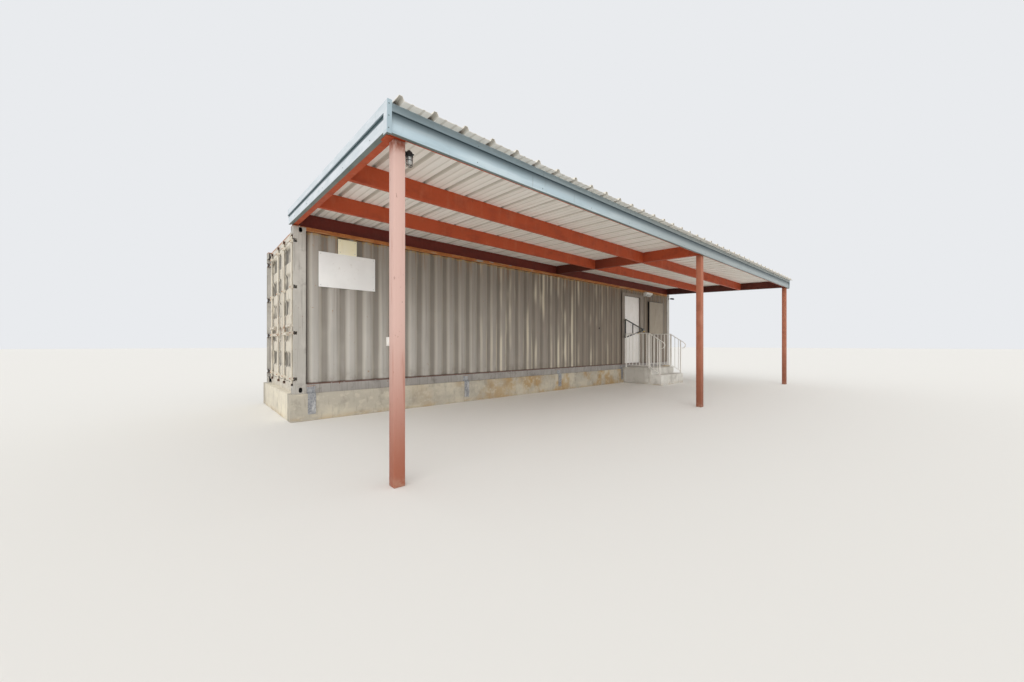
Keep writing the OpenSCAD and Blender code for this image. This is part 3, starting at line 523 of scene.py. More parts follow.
@dataclass(frozen=True)
class OxidePrimer(Finish):
    """Red iron oxide primer brushed on structural steel. Sun bleaches it to a chalky pink."""

    primer: str = "#b34f2b"
    deep: str = "#91391d"
    bloom: str = "#c26a48"
    faded: str = "#d2b0a5"
    faded_low: str = "#9e5b43"
    shade_colour: str = "#3f130b"
    darker_foot: str = "#7a4630"
    scuff: str = "#6e4634"
    dust: str = "#b8a793"
    # Where the sun has bleached it, from the side where that starts, and how high its chalk is full
    fade_from: float = -99.0
    fade_to: float = -98.0
    chalk_z: float = 1.5
    head_z: Span = (2.74, 2.84)
    # Where the painted shade, the darker foot and the dust start and are full; X and Y count from the
    # container's corner
    shade_painted: bool = False
    shade_x: Span = (0.5, 2.0)
    shade_y: Span = (-3.2, -0.4)
    far_shade_x: Span = (8.0, 11.0)
    darker_foot_x: Span = (3.0, 4.0)
    darker_foot_z: Span = (1.4, 0.1)
    dust_z: Span = (0.12, 0.0)

    def make(self) -> Material:
        """Vary the primer's tone, paint shade onto the rafters, bleach it where the sun reaches the post and
        darken it towards the foot.
        """
        coat = Coat(self.name, self.primer)
        x, _, z = coat.axes
        coat.lay(self.deep, (coat.grain((320, 200, 160)), 0.46, 0.7), strength=0.5)
        coat.lay(self.bloom, (coat.grain((120, 90, 420), 5.0, 3.0), 0.5, 0.72), strength=0.4)
        if self.shade_painted:
            # Painted shade: the rafters darker towards the container and along the far end
            coat.lay(self.shade_colour, coat.reach(Axis.Y, *self.shade_y), coat.reach(Axis.X, *self.shade_x),
                     strength=0.9)
            coat.lay(self.shade_colour, coat.reach(Axis.X, *self.far_shade_x), strength=0.85)
        cover = (x, self.fade_to, self.fade_from)
        coat.lay(self.faded_low, cover, strength=0.95)
        coat.lay(self.faded, cover, (z, 0.0, self.chalk_z), (coat.grain((50, 50, 900), 4.0, 6.0), 0.2, 0.45),
                 strength=0.95)
        coat.lay(self.faded_low, cover, (z, *self.head_z), (coat.grain((30, 30, 60), 4.0, 9.0), 0.3, 0.6),
                 strength=0.9)
        coat.lay(self.darker_foot, coat.reach(Axis.X, *self.darker_foot_x), (z, *self.darker_foot_z), strength=0.65)
        scuffs = coat.grain((26, 26, 60), 6.0, 8.0)
        coat.lay(self.scuff, (scuffs, 0.66, 0.72), strength=0.5)
        coat.lay(self.dust, (z, *self.dust_z), (coat.grain((60, 60, 50), 5.0, 10.0), 0.4, 0.66),
                 strength=0.35)
        coat.relief(coat.grain((3, 3, 14), 3.0), 0.2)
        return coat.done(roughness=coat.spread(scuffs, 0.55, 0.75), ior=1.5)


@dataclass(frozen=True)
class CoilCoatedTrim(Finish):
    """Folded steel trim with a coil-coated polyester colour, chalked, with painted shade under its folds and
    on its bottom flange.
    """

    colour: str = "#b9cad1"
    pale: str = "#d3dee2"
    dull: str = "#9db2ba"
    dirt: str = "#7d7f79"
    shade: str = "#37474d"
    far: str = "#868a86"
    edge: str = "#565b58"
    cap: str | None = None
    # How far the fold lies under the roof sheets, and how its shade starts over it and fades under it
    fold: float = 0.066
    over_fold: float = 0.003
    fade_from: float = 0.0
    fade: float = 0.11
    band_shade: float = 0.0
    lower_edge: float = 9.0
    far_dull: float = 0.0
    far_x: Span = (0.5, 6.0)
    # How deep the corner caps reach round the corner, and how far out their faces lie
    cap_w: float = 0.032
    cap_out: Span = (-0.034, -0.037)

    def make(self) -> Material:
        """Cloud the coating along the trim, paint shade under its folds and along its bottom flange, and
        scuff it.
        """
        coat = Coat(self.name, self.colour)
        down = coat.over(ROOF.translation, -ROOF_OUT)
        inward = coat.over(ROOF.translation, -ROOF_FRONT)
        coat.lay(self.pale, (coat.grain((900, 300, 90)), 0.42, 0.64), strength=0.7)
        coat.lay(self.dull, (coat.grain((500, 300, 60), 5.0, 3.0), 0.5, 0.7), strength=0.5)
        coat.lay(self.dirt, (coat.grain((30, 30, 320), 5.0, 7.0), 0.6, 0.76), strength=0.3)
        if self.band_shade:
            coat.lay(self.shade, (down, self.fold + 0.002, self.fold - 0.001), (down, -0.004, 0.01),
                     strength=self.band_shade)
        if self.far_dull:
            coat.lay(self.far, coat.reach(Axis.X, *self.far_x), strength=self.far_dull)
        # The caps on the corners cover the fold
        open_from = self.cap_w if self.cap else -9.0
        start = self.fold - self.over_fold
        coat.lay(self.shade, (down, start - 0.003, start), (inward, open_from - 0.001, open_from + 0.001),
                 (down, self.fold + self.fade, self.fold + self.fade_from), strength=0.95)
        # Painted shade on the bottom flange, seen from below
        coat.lay(self.edge, (down, self.lower_edge - 0.002, self.lower_edge - 0.0005),
                 (inward, open_from - 0.001, open_from + 0.001), strength=0.85)
        # Painted shade: the caps' front legs darker and bluer than the rakes' sides
        if self.cap:
            coat.lay(self.cap, (inward, *self.cap_out), strength=0.9)
        marks = coat.grain((60, 40, 22), 6.0, 10.0)
        coat.lay(self.dirt, (marks, 0.69, 0.74), strength=0.7)
        coat.relief(coat.grain((240, 240, 240), 1.0, 2.0), 1.0)
        return coat.done(roughness=coat.spread(marks, 0.36, 0.52), ior=1.5)


@dataclass(frozen=True)
class CoatedRoofSheet(Finish):
    """Roll-formed steel with a thin stone-white coating, which dulls and spots with dirt."""

    colour: str = "#e2dccf"
    pale: str = "#f0ebe0"
    dull: str = "#b7af9f"
    dirt: str = "#8d8576"
    under: bool = False

    def make(self) -> Material:
        """Run faint tones down the slope, and paint shade into the ribs' hollows on the underside."""
        coat = Coat(self.name, self.colour)
        coat.lay(self.pale, (coat.grain((260, 1500, 400)), 0.42, 0.66), strength=0.7)
        if self.under:
            # Painted shade in the ribs' hollows on the underside, in the dull and the dirt colour
            height = coat.over(ROOF.translation, ROOF_OUT)
            coat.lay(self.dull, (height, 0.0003, 0.003), strength=0.35)
            coat.lay(self.dirt, (height, 0.004, 0.02), strength=0.3)
        else:
            coat.lay(self.dull, (coat.grain((60, 1100, 400), 5.0, 3.0), 0.54, 0.72), strength=0.5)
        coat.lay(self.dirt, (coat.grain((40, 900, 200), 6.0, 6.0), 0.66, 0.78), strength=0.3)
        coat.relief(coat.grain((120, 500, 300), 1.0, 2.0), 0.8)
        return coat.done(roughness=coat.spread(coat.grain((60, 400, 200)), 0.4, 0.58), ior=1.5)


@dataclass(frozen=True)
class HotDipZinc(Finish):
    """Hot-dip galvanised steel: spangled zinc that has dulled to grey."""

    colour: str = "#a9aaac"
    dark: str = "#85868a"
    bloom: str = "#d3d3d1"
    # Real spangles are some 10 mm across, drawn at 16 mm so that they show
    spangle_mm: float = 16.0

    def make(self) -> Material:
        """Give each spangle its tone and let white bloom lie over some of them."""
        coat = Coat(self.name, self.colour)
        tone = coat.cells(self.spangle_mm)
        coat.lay(self.dark, (tone, 0.2, 0.9), strength=0.7)
        coat.lay(self.bloom, (coat.grain((60, 60, 160), 5.0, 3.0), 0.5, 0.7), strength=0.8)
        return coat.done(roughness=coat.spread(tone, 0.38, 0.55), metallic=0.75)


@dataclass(frozen=True)
class SatinPaint(Finish):
    """Brushed or rolled satin enamel with a slight orange peel and a little dirt."""

    colour: str = "#f2efea"
    pale: str = "#fbf9f6"
    dirt: str = "#a8a094"
    dirt_level: float = 0.62
    roughness: float = 0.42

    def make(self) -> Material:
        """Cloud the enamel and dirty it in drips."""
        coat = Coat(self.name, self.colour)
        coat.lay(self.pale, (coat.grain((380, 380, 600)), 0.42, 0.64), strength=0.8)
        drips = coat.grain((26, 26, 420), 5.0, 5.0)
        coat.lay(self.dirt, (drips, self.dirt_level, self.dirt_level + 0.14), strength=0.6)
        coat.lay(self.dirt, (coat.grain((70, 70, 90), 6.0, 8.0), 0.62, 0.74), strength=0.4)
        coat.relief(coat.grain((2.5, 2.5, 2.5), 2.0), 0.12)
        return coat.done(roughness=coat.spread(drips, self.roughness, self.roughness + 0.16), ior=1.5)


@dataclass(frozen=True)
class StainedCream(Finish):
    """Cream enamel on pressed doors: painted shade in the ribs, beside the rods and by the hinge knuckles,
    rust where the gear rubs.
    """

    colour: str = "#d6cebe"
    dirt: str = "#857e72"
    dark: str = "#4a443a"
    rust: str = "#9a6238"
    shade_colour: str = "#231d19"
    # The handles' height, and how far from it the rust is full and ends
    gear_z: float = 1.45
    gear_near: float = 0.1
    gear_far: float = 0.35
    # How far behind the container's end the painted shade in the ribs starts and is full, and how far the
    # painted shade by the hinge knuckles reaches
    rib_from: float = 0.069
    rib_full: float = 0.098
    knuckles: float = 0.04
    # The rods stand in pairs, mirrored about the middle of the container's end: a pair's middle
    # and half its width, and how far from a rod its painted shadow starts and is full
    rod_shadow: bool = True
    pair_y: float = 0.579
    rod_y: float = 0.32
    rod_reach: Span = (0.045, 0.02)

    def make(self) -> Material:
        """Stain the enamel downwards, paint shade into its ribs, beside its rods and by its knuckles, and
        rust it by the handles.
        """
        coat = Coat(self.name, self.colour)
        _, away, z = coat.axes
        coat.lay(self.dirt, (coat.grain((60, 60, 520), 4.0), 0.5, 0.72), strength=0.65)
        # Painted shade in the ribs, which lie behind the container's end
        coat.lay(self.dark, coat.reach(Axis.X, self.rib_from, self.rib_full),
                 (coat.grain((160, 160, 300), 2.0, 2.0), 0.3, 0.62), strength=0.85)
        # Painted shadow beside each rod
        if self.rod_shadow:
            for step in ((CORNER.y + FAR_CORNER.y) / 2, self.pair_y, self.rod_y):
                off = add(coat.tree, "Math", {0: away, 1: step}, operation="SUBTRACT").outputs[0]
                away = add(coat.tree, "Math", {0: off}, operation="ABSOLUTE").outputs[0]
            coat.lay(self.dark, (away, *self.rod_reach), (coat.grain((60, 60, 360), 4.0, 3.0), 0.3, 0.5),
                     strength=0.85)
        coat.lay(self.dark, (coat.grain((40, 34, 160), 4.0, 4.0), 0.6, 0.72), strength=0.5)
        rust = coat.grain((46, 46, 90), 6.0, 7.0)
        coat.lay(self.rust, (z, self.gear_z + self.gear_far, self.gear_z + self.gear_near),
                 (z, self.gear_z - self.gear_far, self.gear_z - self.gear_near), (rust, 0.55, 0.66),
                 strength=0.65)
        coat.lay(self.rust, (rust, 0.67, 0.73), strength=0.6)
        # Painted shade by the hinge knuckles at the corner
        coat.lay(self.shade_colour, coat.reach(Axis.X, self.knuckles + 0.01, self.knuckles), strength=0.95)
        coat.relief(rust, 0.6)
        return coat.done(roughness=coat.spread(rust, 0.42, 0.66), ior=1.5)


@dataclass(frozen=True)
class PowderCoat(Finish):
    """Powder-coated metal, fine-textured, a little dusty."""

    colour: str = "#1b1b1c"
    dust: str = "#4a4844"
    roughness: float = 0.46
    # The powder's texture is under 1 mm, drawn at 2 mm so that it shows
    texture_mm: float = 2.0

    def make(self) -> Material:
        """Dust the coat and give it its fine texture."""
        coat = Coat(self.name, self.colour)
        dust = coat.grain((40, 40, 40), 6.0)
        coat.lay(self.dust, (dust, 0.5, 0.75), strength=0.6)
        coat.relief(coat.grain((self.texture_mm,) * 3, 2.0), 0.15)
        return coat.done(roughness=coat.spread(dust, self.roughness, self.roughness + 0.2), ior=1.5)


@dataclass(frozen=True)
class MouldedPlastic(Finish):
    """Injection-moulded polycarbonate, slightly yellowed, with a fine spark-eroded grain."""

    colour: str = "#fbf9f5"
    aged: str = "#f3efe4"
    dirt: str = "#cdc7b9"

    def make(self) -> Material:
        """Yellow the plastic unevenly and grain it."""
        coat = Coat(self.name, self.colour)
        coat.lay(self.aged, (coat.grain((140, 140, 140)), 0.42, 0.64), strength=0.8)
        coat.lay(self.dirt, (coat.grain((18, 18, 90), 5.0, 4.0), 0.62, 0.76), strength=0.5)
        coat.relief(coat.grain((1.5, 1.5, 1.5), 2.0), 0.1)
        return coat.done(roughness=0.4, ior=1.58)


@dataclass(frozen=True)
class BareMetal(Finish):
    """Tumbled or polished bare metal, dulled in clouds by handling and weather."""

    colour: str = "#b08d45"
    tarnish: str = "#6b5530"
    smooth: float = 0.26

    def make(self) -> Material:
        """Tarnish the metal in clouds."""
        coat = Coat(self.name, self.colour)
        cloud = coat.grain((14, 14, 14), 5.0)
        coat.lay(self.tarnish, (cloud, 0.45, 0.7), strength=0.8)
        return coat.done(roughness=coat.spread(cloud, self.smooth, self.smooth + 0.24), metallic=1.0)


@dataclass(frozen=True)
class Plywood(Finish):
    """Tropical plywood floor panels: long grain, scuffed by loads, screwed down in rows."""

    colour: str = "#8c6a45"
    grain_colour: str = "#6a4d30"
    scuff: str = "#a58a68"
    joint: str = "#2e2218"
    panel: float = 1.2
    joint_w: Span = (0.006, 0.003)

    def make(self) -> Material:
        """Draw the grain across the container and a dark joint between panels."""
        coat = Coat(self.name, self.colour)
        grain = coat.grain((14, 420, 40), 6.0)
        coat.lay(self.grain_colour, (grain, 0.42, 0.66), strength=0.85)
        coat.lay(self.scuff, (coat.grain((600, 90, 60), 6.0, 4.0), 0.54, 0.7), strength=0.6)
        along = {0: coat.axes[Axis.X], 1: self.panel}
        panels = add(coat.tree, "Math", along, operation="PINGPONG").outputs[0]
        coat.lay(self.joint, (panels, *self.joint_w), strength=0.9)
        coat.relief(grain, 0.4)
        return coat.done(roughness=0.7, ior=1.5)


@dataclass(frozen=True)
class Rubber(Finish):
    """Extruded door seal: EPDM rubber, greyed by dust."""

    colour: str = "#2e2924"
    dust: str = "#5c5248"

    def make(self) -> Material:
        """Dust the rubber."""
        coat = Coat(self.name, self.colour)
        dust = coat.grain((30, 30, 60), 5.0)
        coat.lay(self.dust, (dust, 0.5, 0.72), strength=0.7)
        return coat.done(roughness=coat.spread(dust, 0.7, 0.85), ior=1.52)


@dataclass(frozen=True)
class ClearGlass(Finish):
    """Float or pressed glass with a faint film of dust."""

    tint: str = "#dfe9e8"
    haze: float = 0.02

    def make(self) -> Material:
        """Let light through, with a little haze from the dust."""
        coat = Coat(self.name, self.tint)
        film = coat.grain((90, 90, 140), 5.0)
        rough = coat.spread(film, self.haze, self.haze + 0.1)
        return coat.done(roughness=rough, ior=1.52, transmission_weight=0.92)


@dataclass(frozen=True)
class PaleFloor(Finish):
    """Matt studio floor."""

    colour: str = "#ebe9e4"

    def make(self) -> Material:
        """Keep the floor plain."""
        return Coat(self.name, self.colour).done(roughness=0.9, ior=1.45)


CONCRETE = CastConcrete("strip_concrete")
# The same concrete as the side strips, made paler: painted light on the end strips
END_CONCRETE = CastConcrete("end_concrete", base="#d6cebd", cream="#e6dec9", grey="#b5ad9d",
                            ochre_level=0.6)
PRECAST = CastConcrete("precast_concrete", base="#cdcac2", cream="#dedbd4", grey="#a5a097", ochre_level=0.7,
                       shade_from=CORNER.y - 0.85)
ZINC = HotDipZinc("weathered_zinc")
RAILING = SatinPaint("railing_enamel", colour="#e6e2db", pale="#f2efe9", dirt="#a8a196")
DECK = Plywood("floor_plywood")
UNDERSIDE = PowderCoat("underbody_bitumen", colour="#34312e", dust="#6b6459", roughness=0.6)
CASTING = WeatheredPaint("casting_paint", edge_top=FAR_CORNER.z, edge=0.02, edge_rust="#9c5c2e",
                         hollow=True)
POST = WeatheredPaint("frame_paint")
BOTTOM_RAIL = WeatheredPaint("bottom_rail_paint", paint="#96928d", worn="#a5a19b", dirt="#6f6962",
                             edge_top=CORNER.z + 0.15, edge=0.016)
BLIND_RAIL = WeatheredPaint("end_rail_paint", paint="#a39e96", worn="#b2ada5", rust_spots=0.62)
CARGO_FRAME = WeatheredPaint("door_header_paint", paint="#cdc6b8", worn="#ddd6c8", rust_spots=0.64,
                             edge_top=FAR_CORNER.z, edge=0.035, edge_rust="#a8672f")
TOP_RAIL = RustedThrough("rusted_top_rail", rust="#a8622c", ochre="#c4a479",
                         drip_edge=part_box("top_rails")[0].z)
CREAM = StainedCream("stained_cream_enamel")
GEAR = StainedCream("worn_locking_gear", colour="#d6cebf", dirt="#857c70", rib_from=8.0, rib_full=9.0,
                    knuckles=-1.0, rod_shadow=False)
# Dark rust, taken towards black as painted shade in the hinge pockets; the rod keepers share it
HINGE = RustedThrough("rust_and_shade_hinges", rust="#3a2419", bright="#5a3520", ochre="#4a3020", pits="#17110d",
                      paint_left=0.7)
WELD = RustedThrough("rusty_weld")
DOOR = SatinPaint("door_enamel")
FRAME = SatinPaint("frame_enamel", colour="#877c70", pale="#93897c", dirt="#5f564b")
SHUTTER = SatinPaint("shutter_enamel", colour="#978b79", pale="#a39885", dirt="#655c50")
BAR = PowderCoat("bar_enamel", colour="#2f332f", dust="#565149")
# Painted shade: near black for the shade on the shutter's sides
SHUTTER_EDGE = PowderCoat("shutter_edge_painted_shade", colour="#211d1a", dust="#3b352f")
BRASS = BareMetal("dull_brass", colour="#dcb862", tarnish="#a5833f", smooth=0.34)
CHROME = BareMetal("plated_steel", colour="#c9cacc", tarnish="#8f9092", smooth=0.18)
MILL_ALUMINIUM = HotDipZinc("mill_aluminium", colour="#c3c4c6", dark="#aaabae", bloom="#d8d8d8")
GLASS = ClearGlass("float_glass")
LAMP_GLASS = ClearGlass("pressed_lamp_glass", tint="#f2f4f4", haze=0.12)
OXIDE = OxidePrimer("oxide_primer", primer="#b84d24")
RAFTER_OXIDE = OxidePrimer("shaded_rafter_primer", primer="#b84d24", shade_painted=True)
POST_OXIDE = OxidePrimer("post_primer", primer="#a9674d", deep="#91533a", bloom="#bd8871", fade_from=-4.0,
                         fade_to=-2.0)
MAROON = OxidePrimer("shaded_primer", primer="#671c0a", deep="#4c1306", bloom="#70230f")
ROOF_SHEET = CoatedRoofSheet("stone_white_sheet")
ROOF_UNDER = CoatedRoofSheet("off_white_backer", colour="#f3efe7", pale="#fbf8f2", under=True)
# The fascia and the rakes are one trim: the fascia's darker, bluer colour is painted shade on the front, and
# the rakes' paler colour painted light on the sides
FASCIA = CoilCoatedTrim("fascia_coating", colour="#b3c6cf", pale="#c9d7dd", band_shade=0.6, lower_edge=0.224,
                        far_dull=0.7)
RAKE = CoilCoatedTrim("rake_coating", colour="#cdd6dc", pale="#dfe4ea", dull="#b6c4ca", shade="#3d555b",
                      cap="#9db1ba", fold=0.077, over_fold=0.014, fade_from=0.018, fade=0.03,
                      lower_edge=0.203)
TRIM_RETURN = CoilCoatedTrim("shaded_trim", colour="#6d7a78", pale="#7d8a88", dull="#59645f", fold=9.0)
TRIM_SCREW = PowderCoat("painted_screw_heads", colour="#5d6a6e", dust="#7c8688")
SIGN = SatinPaint("sign_panel", colour="#efefed", pale="#f6f6f4", dirt="#d3d0ca", dirt_level=0.7)
NOTICE = SatinPaint("yellowed_board", colour="#fdf5d4", pale="#fef9e0", dirt="#f0e4ba", roughness=0.6)
PLASTIC = MouldedPlastic("aged_polycarbonate")
BLACK = PowderCoat("black_powder_coat")
SEAL = Rubber("door_seal")


def merged(node: str) -> BMesh:
    """Copy a CAD node's mesh, with its loose triangles joined and its flat faces made one.

    Args:
        node: The CAD node.

    Returns:
        The copy, in the frame's own place.
    """
    bm = bmesh.new()
    bm.from_mesh(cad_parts[node].data)
    bmesh.ops.remove_doubles(bm, verts=bm.verts, dist=MERGE)
    bmesh.ops.dissolve_limit(bm, angle_limit=math.radians(1.0), verts=bm.verts, edges=bm.edges)
    return bm


def rounded(bm: BMesh, edges: Iterable[BMEdge], radius: float) -> None:
    """Round some edges of a mesh by a radius."""
    bmesh.ops.bevel(bm, geom=list(edges), offset=radius, segments=2, affect="EDGES", profile=0.5,
                    material=-1, clamp_overlap=True)


def softened(node: str, radius: float) -> BMesh:
    """Copy a CAD node's mesh with its outer edges rounded.

    Args:
        node: The CAD node.
        radius: How far its edges are rounded.

    Returns:
        The copy, in the frame's own place.
    """
    bm = merged(node)
    rounded(bm, [e for e in bm.edges if len(e.link_faces) == 2 and e.is_convex
                 and e.calc_face_angle() > math.radians(SHARP_DEG)], radius)
    return bm


def edges_of(verts: Iterable[BMVert]) -> list[BMEdge]:
    """List the edges that meet some vertices, each of them once."""
    return list(dict.fromkeys(edge for vert in verts for edge in vert.link_edges))


def everything(bm: BMesh) -> list[BMVert | BMEdge | BMFace]:
    """List a mesh's vertices, edges and faces."""
    return [*bm.verts, *bm.edges, *bm.faces]


def cut_rows(bm: BMesh, low: Vector, high: Vector, run: Axis, row: float) -> None:
    """Cut a mesh across into rows, so that it can bend.

    Args:
        bm: The mesh.
        low: Its lowest corner.
        high: Its highest corner.
        run: The axis that the rows follow each other along.
        row: A row's length.
    """
    normal = Vector([float(run == axis) for axis in Axis])
    for i in range(1, int((high[run] - low[run]) / row) + 1):
        bmesh.ops.bisect_plane(bm, geom=everything(bm), plane_co=low + normal * (i * row),
                               plane_no=normal, dist=MERGE)


def dent(bm: BMesh, low: Vector, high: Vector, depth: float, size: float) -> None:
    """Push a thin sheet in and out a little, less towards its rim.

    Args:
        bm: The sheet.
        low: Its lowest corner.
        high: Its highest corner.
        depth: How far it is pushed.
        size: How wide the dents are.
    """
    thin = min(Axis, key=lambda axis: high[axis] - low[axis])
    for vert in bm.verts:
        place = vert.co.copy()
        place[thin] = 0.0
        rim = min(min(place[a] - low[a], high[a] - place[a]) for a in Axis if a != thin)
        give = depth * min(1.0, max(0.0, rim / (STIFF_RIM * size)))
        vert.co[thin] += give * (noise.noise(place / size) + 0.5 * noise.noise(place * FINER / size))


def block(bm: BMesh, low: Vector, high: Vector, radius: float, place: Matrix | None = None) -> None:
    """Add a block with rounded edges between two corners.

    Args:
        bm: The mesh that it is added to.
        low: The block's lowest corner.
        high: The block's highest corner.
        radius: How far its edges are rounded.
        place: The frame that the corners are given in, if it isn't the model's own.
    """
    shape = Matrix.Translation((low + high) / 2) @ Matrix.Diagonal((*(high - low), 1.0))
    made = bmesh.ops.create_cube(bm, size=1.0, matrix=(place or Matrix()) @ shape)["verts"]
    rounded(bm, edges_of(made), radius)


def rod(bm: BMesh, start: Vector, end: Vector, radius: float, tip: float | None = None,
        sides: int = 16) -> None:
    """Add a closed round bar.

    Args:
        bm: The mesh that it is added to.
        start: The middle of its first end.
        end: The middle of its other end.
        radius: Its radius at the start.
        tip: Its radius at the end, if that differs.
        sides: How many sides it has.
    """
    run = end - start
    turn = run.to_track_quat("Z", "Y").to_matrix().to_4x4()
    bmesh.ops.create_cone(bm, cap_ends=True, segments=sides, radius1=radius,
                          radius2=radius if tip is None else tip, depth=run.length,
                          matrix=Matrix.Translation((start + end) / 2) @ turn)


def bolt(bm: BMesh, foot: Vector, facing: Vector, across: float) -> None:
    """Add a hexagon head on its washer.

    Args:
        bm: The mesh that it is added to.
        foot: Where its middle touches the surface.
        facing: The direction away from the surface.
        across: The head's width.
    """
    rod(bm, foot, foot + facing * (0.18 * across), 0.85 * across, sides=12)
    rod(bm, foot, foot + facing * (0.62 * across), 0.54 * across, sides=6)


def pan_head(bm: BMesh, foot: Vector, facing: Vector, across: float) -> None:
    """Add a low domed screw head, with the same arguments as a bolt."""
    rod(bm, foot, foot + facing * (0.25 * across), 0.5 * across, 0.3 * across, sides=10)


def turned(bm: BMesh, profile: Profile, foot: Vector, axis: Vector, steps: int = 24) -> None:
    """Turn a profile round an axis, as on a lathe.

    Args:
        bm: The mesh that it is added to.
        profile: The outline that is turned.
        foot: Where the axis starts.
        axis: The axis' direction.
        steps: How many steps go round.
    """
    place = Matrix.Translation(foot) @ axis.to_track_quat("Z", "Y").to_matrix().to_4x4()
    verts = [bm.verts.new(place @ Vector((radius, 0, along))) for radius, along in profile]
    edges = [bm.edges.new(pair) for pair in zip(verts, verts[1:])]
    bmesh.ops.spin(bm, geom=verts + edges, cent=foot, axis=axis, angle=math.tau, steps=steps, use_merge=True)
    bmesh.ops.remove_doubles(bm, verts=bm.verts, dist=MERGE)


def ring(bm: BMesh, centre: Vector, facing: Vector, radius: float, thick: float,
         angle: float = math.tau) -> None:
    """Add a round ring or a part of one, such as a grommet or a shackle, by spinning a circle.

    Args:
        bm: The mesh that it is added to.
        centre: The ring's middle.
        facing: The ring's axis.
        radius: From the axis to the middle of the ring's section.
        thick: The section's radius.
        angle: How far round it goes.
    """
    turn = facing.to_track_quat("Z", "Y").to_matrix().to_4x4()
    place = Matrix.Translation(centre) @ turn
    section = Matrix.Translation((radius, 0, 0)) @ Matrix.Rotation(math.pi / 2, 4, "X")
    whole = angle == math.tau
    made = bmesh.ops.create_circle(bm, cap_ends=not whole, segments=8, radius=thick,
                                   matrix=place @ section)["verts"]
    bmesh.ops.spin(bm, geom=[*made, *edges_of(made), *made[0].link_faces], cent=centre,
                   axis=turn.to_3x3() @ UPWARD, angle=angle, steps=20, use_merge=whole)


def shown(name: str, data: Mesh | Light | Camera) -> Object:
    """Put an object in the scene.

    Args:
        name: Its name.
        data: What it shows.

    Returns:
        The new object, unturned at the origin.
    """
    made = bpy.data.objects.new(name, data)
    bpy.context.scene.collection.objects.link(made)
    return made


def mesh_of(bm: BMesh, name: str, finish: Finish) -> Mesh:
    """Turn a bmesh into a mesh with a finish.

    Args:
        bm: The shape. It is freed.
        name: The mesh's name.
        finish: What it is made of.

    Returns:
        The new mesh.
    """
    mesh = bpy.data.meshes.new(name)
    bm.to_mesh(mesh)
    bm.free()
    mesh.materials.append(material_of(finish))
    return mesh


def piece(bm: BMesh, name: str, finish: Finish, body: Body = Body.CABIN) -> Object:
    """Turn a bmesh into a finished piece that rides on a body.

    Args:
        bm: The shape, in the frame's own place. It is freed.
        name: The piece's name.
        finish: What it is made of.
        body: The body that it moves with.

    Returns:
        The new object.
    """
    bmesh.ops.recalc_face_normals(bm, faces=bm.faces)
    for face in bm.faces:
        face.smooth = True
    for edge in bm.edges:
        edge.smooth = edge.calc_face_angle(math.pi) < math.radians(SHARP_DEG)
    made = shown(name, mesh_of(bm, name, finish))
    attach(made, body.value)
    LOG.info("%s: %d faces on %s", name, len(made.data.polygons), body.value)
    return made


def stand_in(bm: BMesh, node: str, finish: Finish, body: Body = Body.CABIN) -> None:
    """Turn a bmesh into the piece that stands for a CAD node.

    Args:
        bm: The shape, in the frame's own place. It is freed.
        node: The CAD node.
        finish: What it is made of.
        body: The body that it moves with.
    """
    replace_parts(piece(bm, node + "_finished", finish, body), node)


def dress(finish: Finish, *nodes: str) -> None:
    """Give CAD nodes a finish.

    Args:
        finish: What they are made of.
        nodes: The nodes' names.
    """
    for name in nodes:
        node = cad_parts[name]
        for holder in node.material_slots:
            holder.material = material_of(finish)
        LOG.info("%s: %s", name, finish.name)


@dataclass
class Foundation:
    """Concrete strips under the container and the bent plates that tie it to them."""

    chamfer: float = 0.008
    plates: int = 4
    first: float = 0.19
    plate_w: float = 0.115
    gap: float = 0.03
    bolt_z: float = 0.19
    across: float = 0.02
    spread: float = 0.026
    weld: float = 0.004
    plate_t: float = 0.006

    def build(self) -> None:
        """Chamfer the strips, and bolt and weld the plates."""
        for node, finish in (("foundation_sides", CONCRETE), ("foundation_ends", END_CONCRETE)):
            stand_in(softened(node, self.chamfer), node, finish)
        dress(ZINC, "tie_plates")
        low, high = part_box("tie_plates")
        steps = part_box("entry_steps")[0].x - CORNER.x
        pitch = (steps - self.gap - self.plate_w - self.first) / (self.plates - 1)
        bolts, welds = bmesh.new(), bmesh.new()
        for i in range(self.plates):
            left = CORNER.x + self.first + i * pitch
            middle = left + self.plate_w / 2
            for shift in (-self.spread, self.spread):
                bolt(bolts, Vector((middle + shift, low.y, self.bolt_z)), OUTWARD, self.across)
                top = Vector((middle + shift, high.y - self.spread, CORNER.z + self.plate_t))
                bolt(bolts, top, UPWARD, self.across)
            for y in (CORNER.y - self.weld / 2, FAR_CORNER.y + self.weld / 2):
                start = Vector((left, y, high.z))
                rod(welds, start, start + Vector((self.plate_w, 0, 0)), self.weld, sides=8)
        piece(bolts, "tie_bolts", ZINC)
        piece(welds, "tie_welds", WELD)


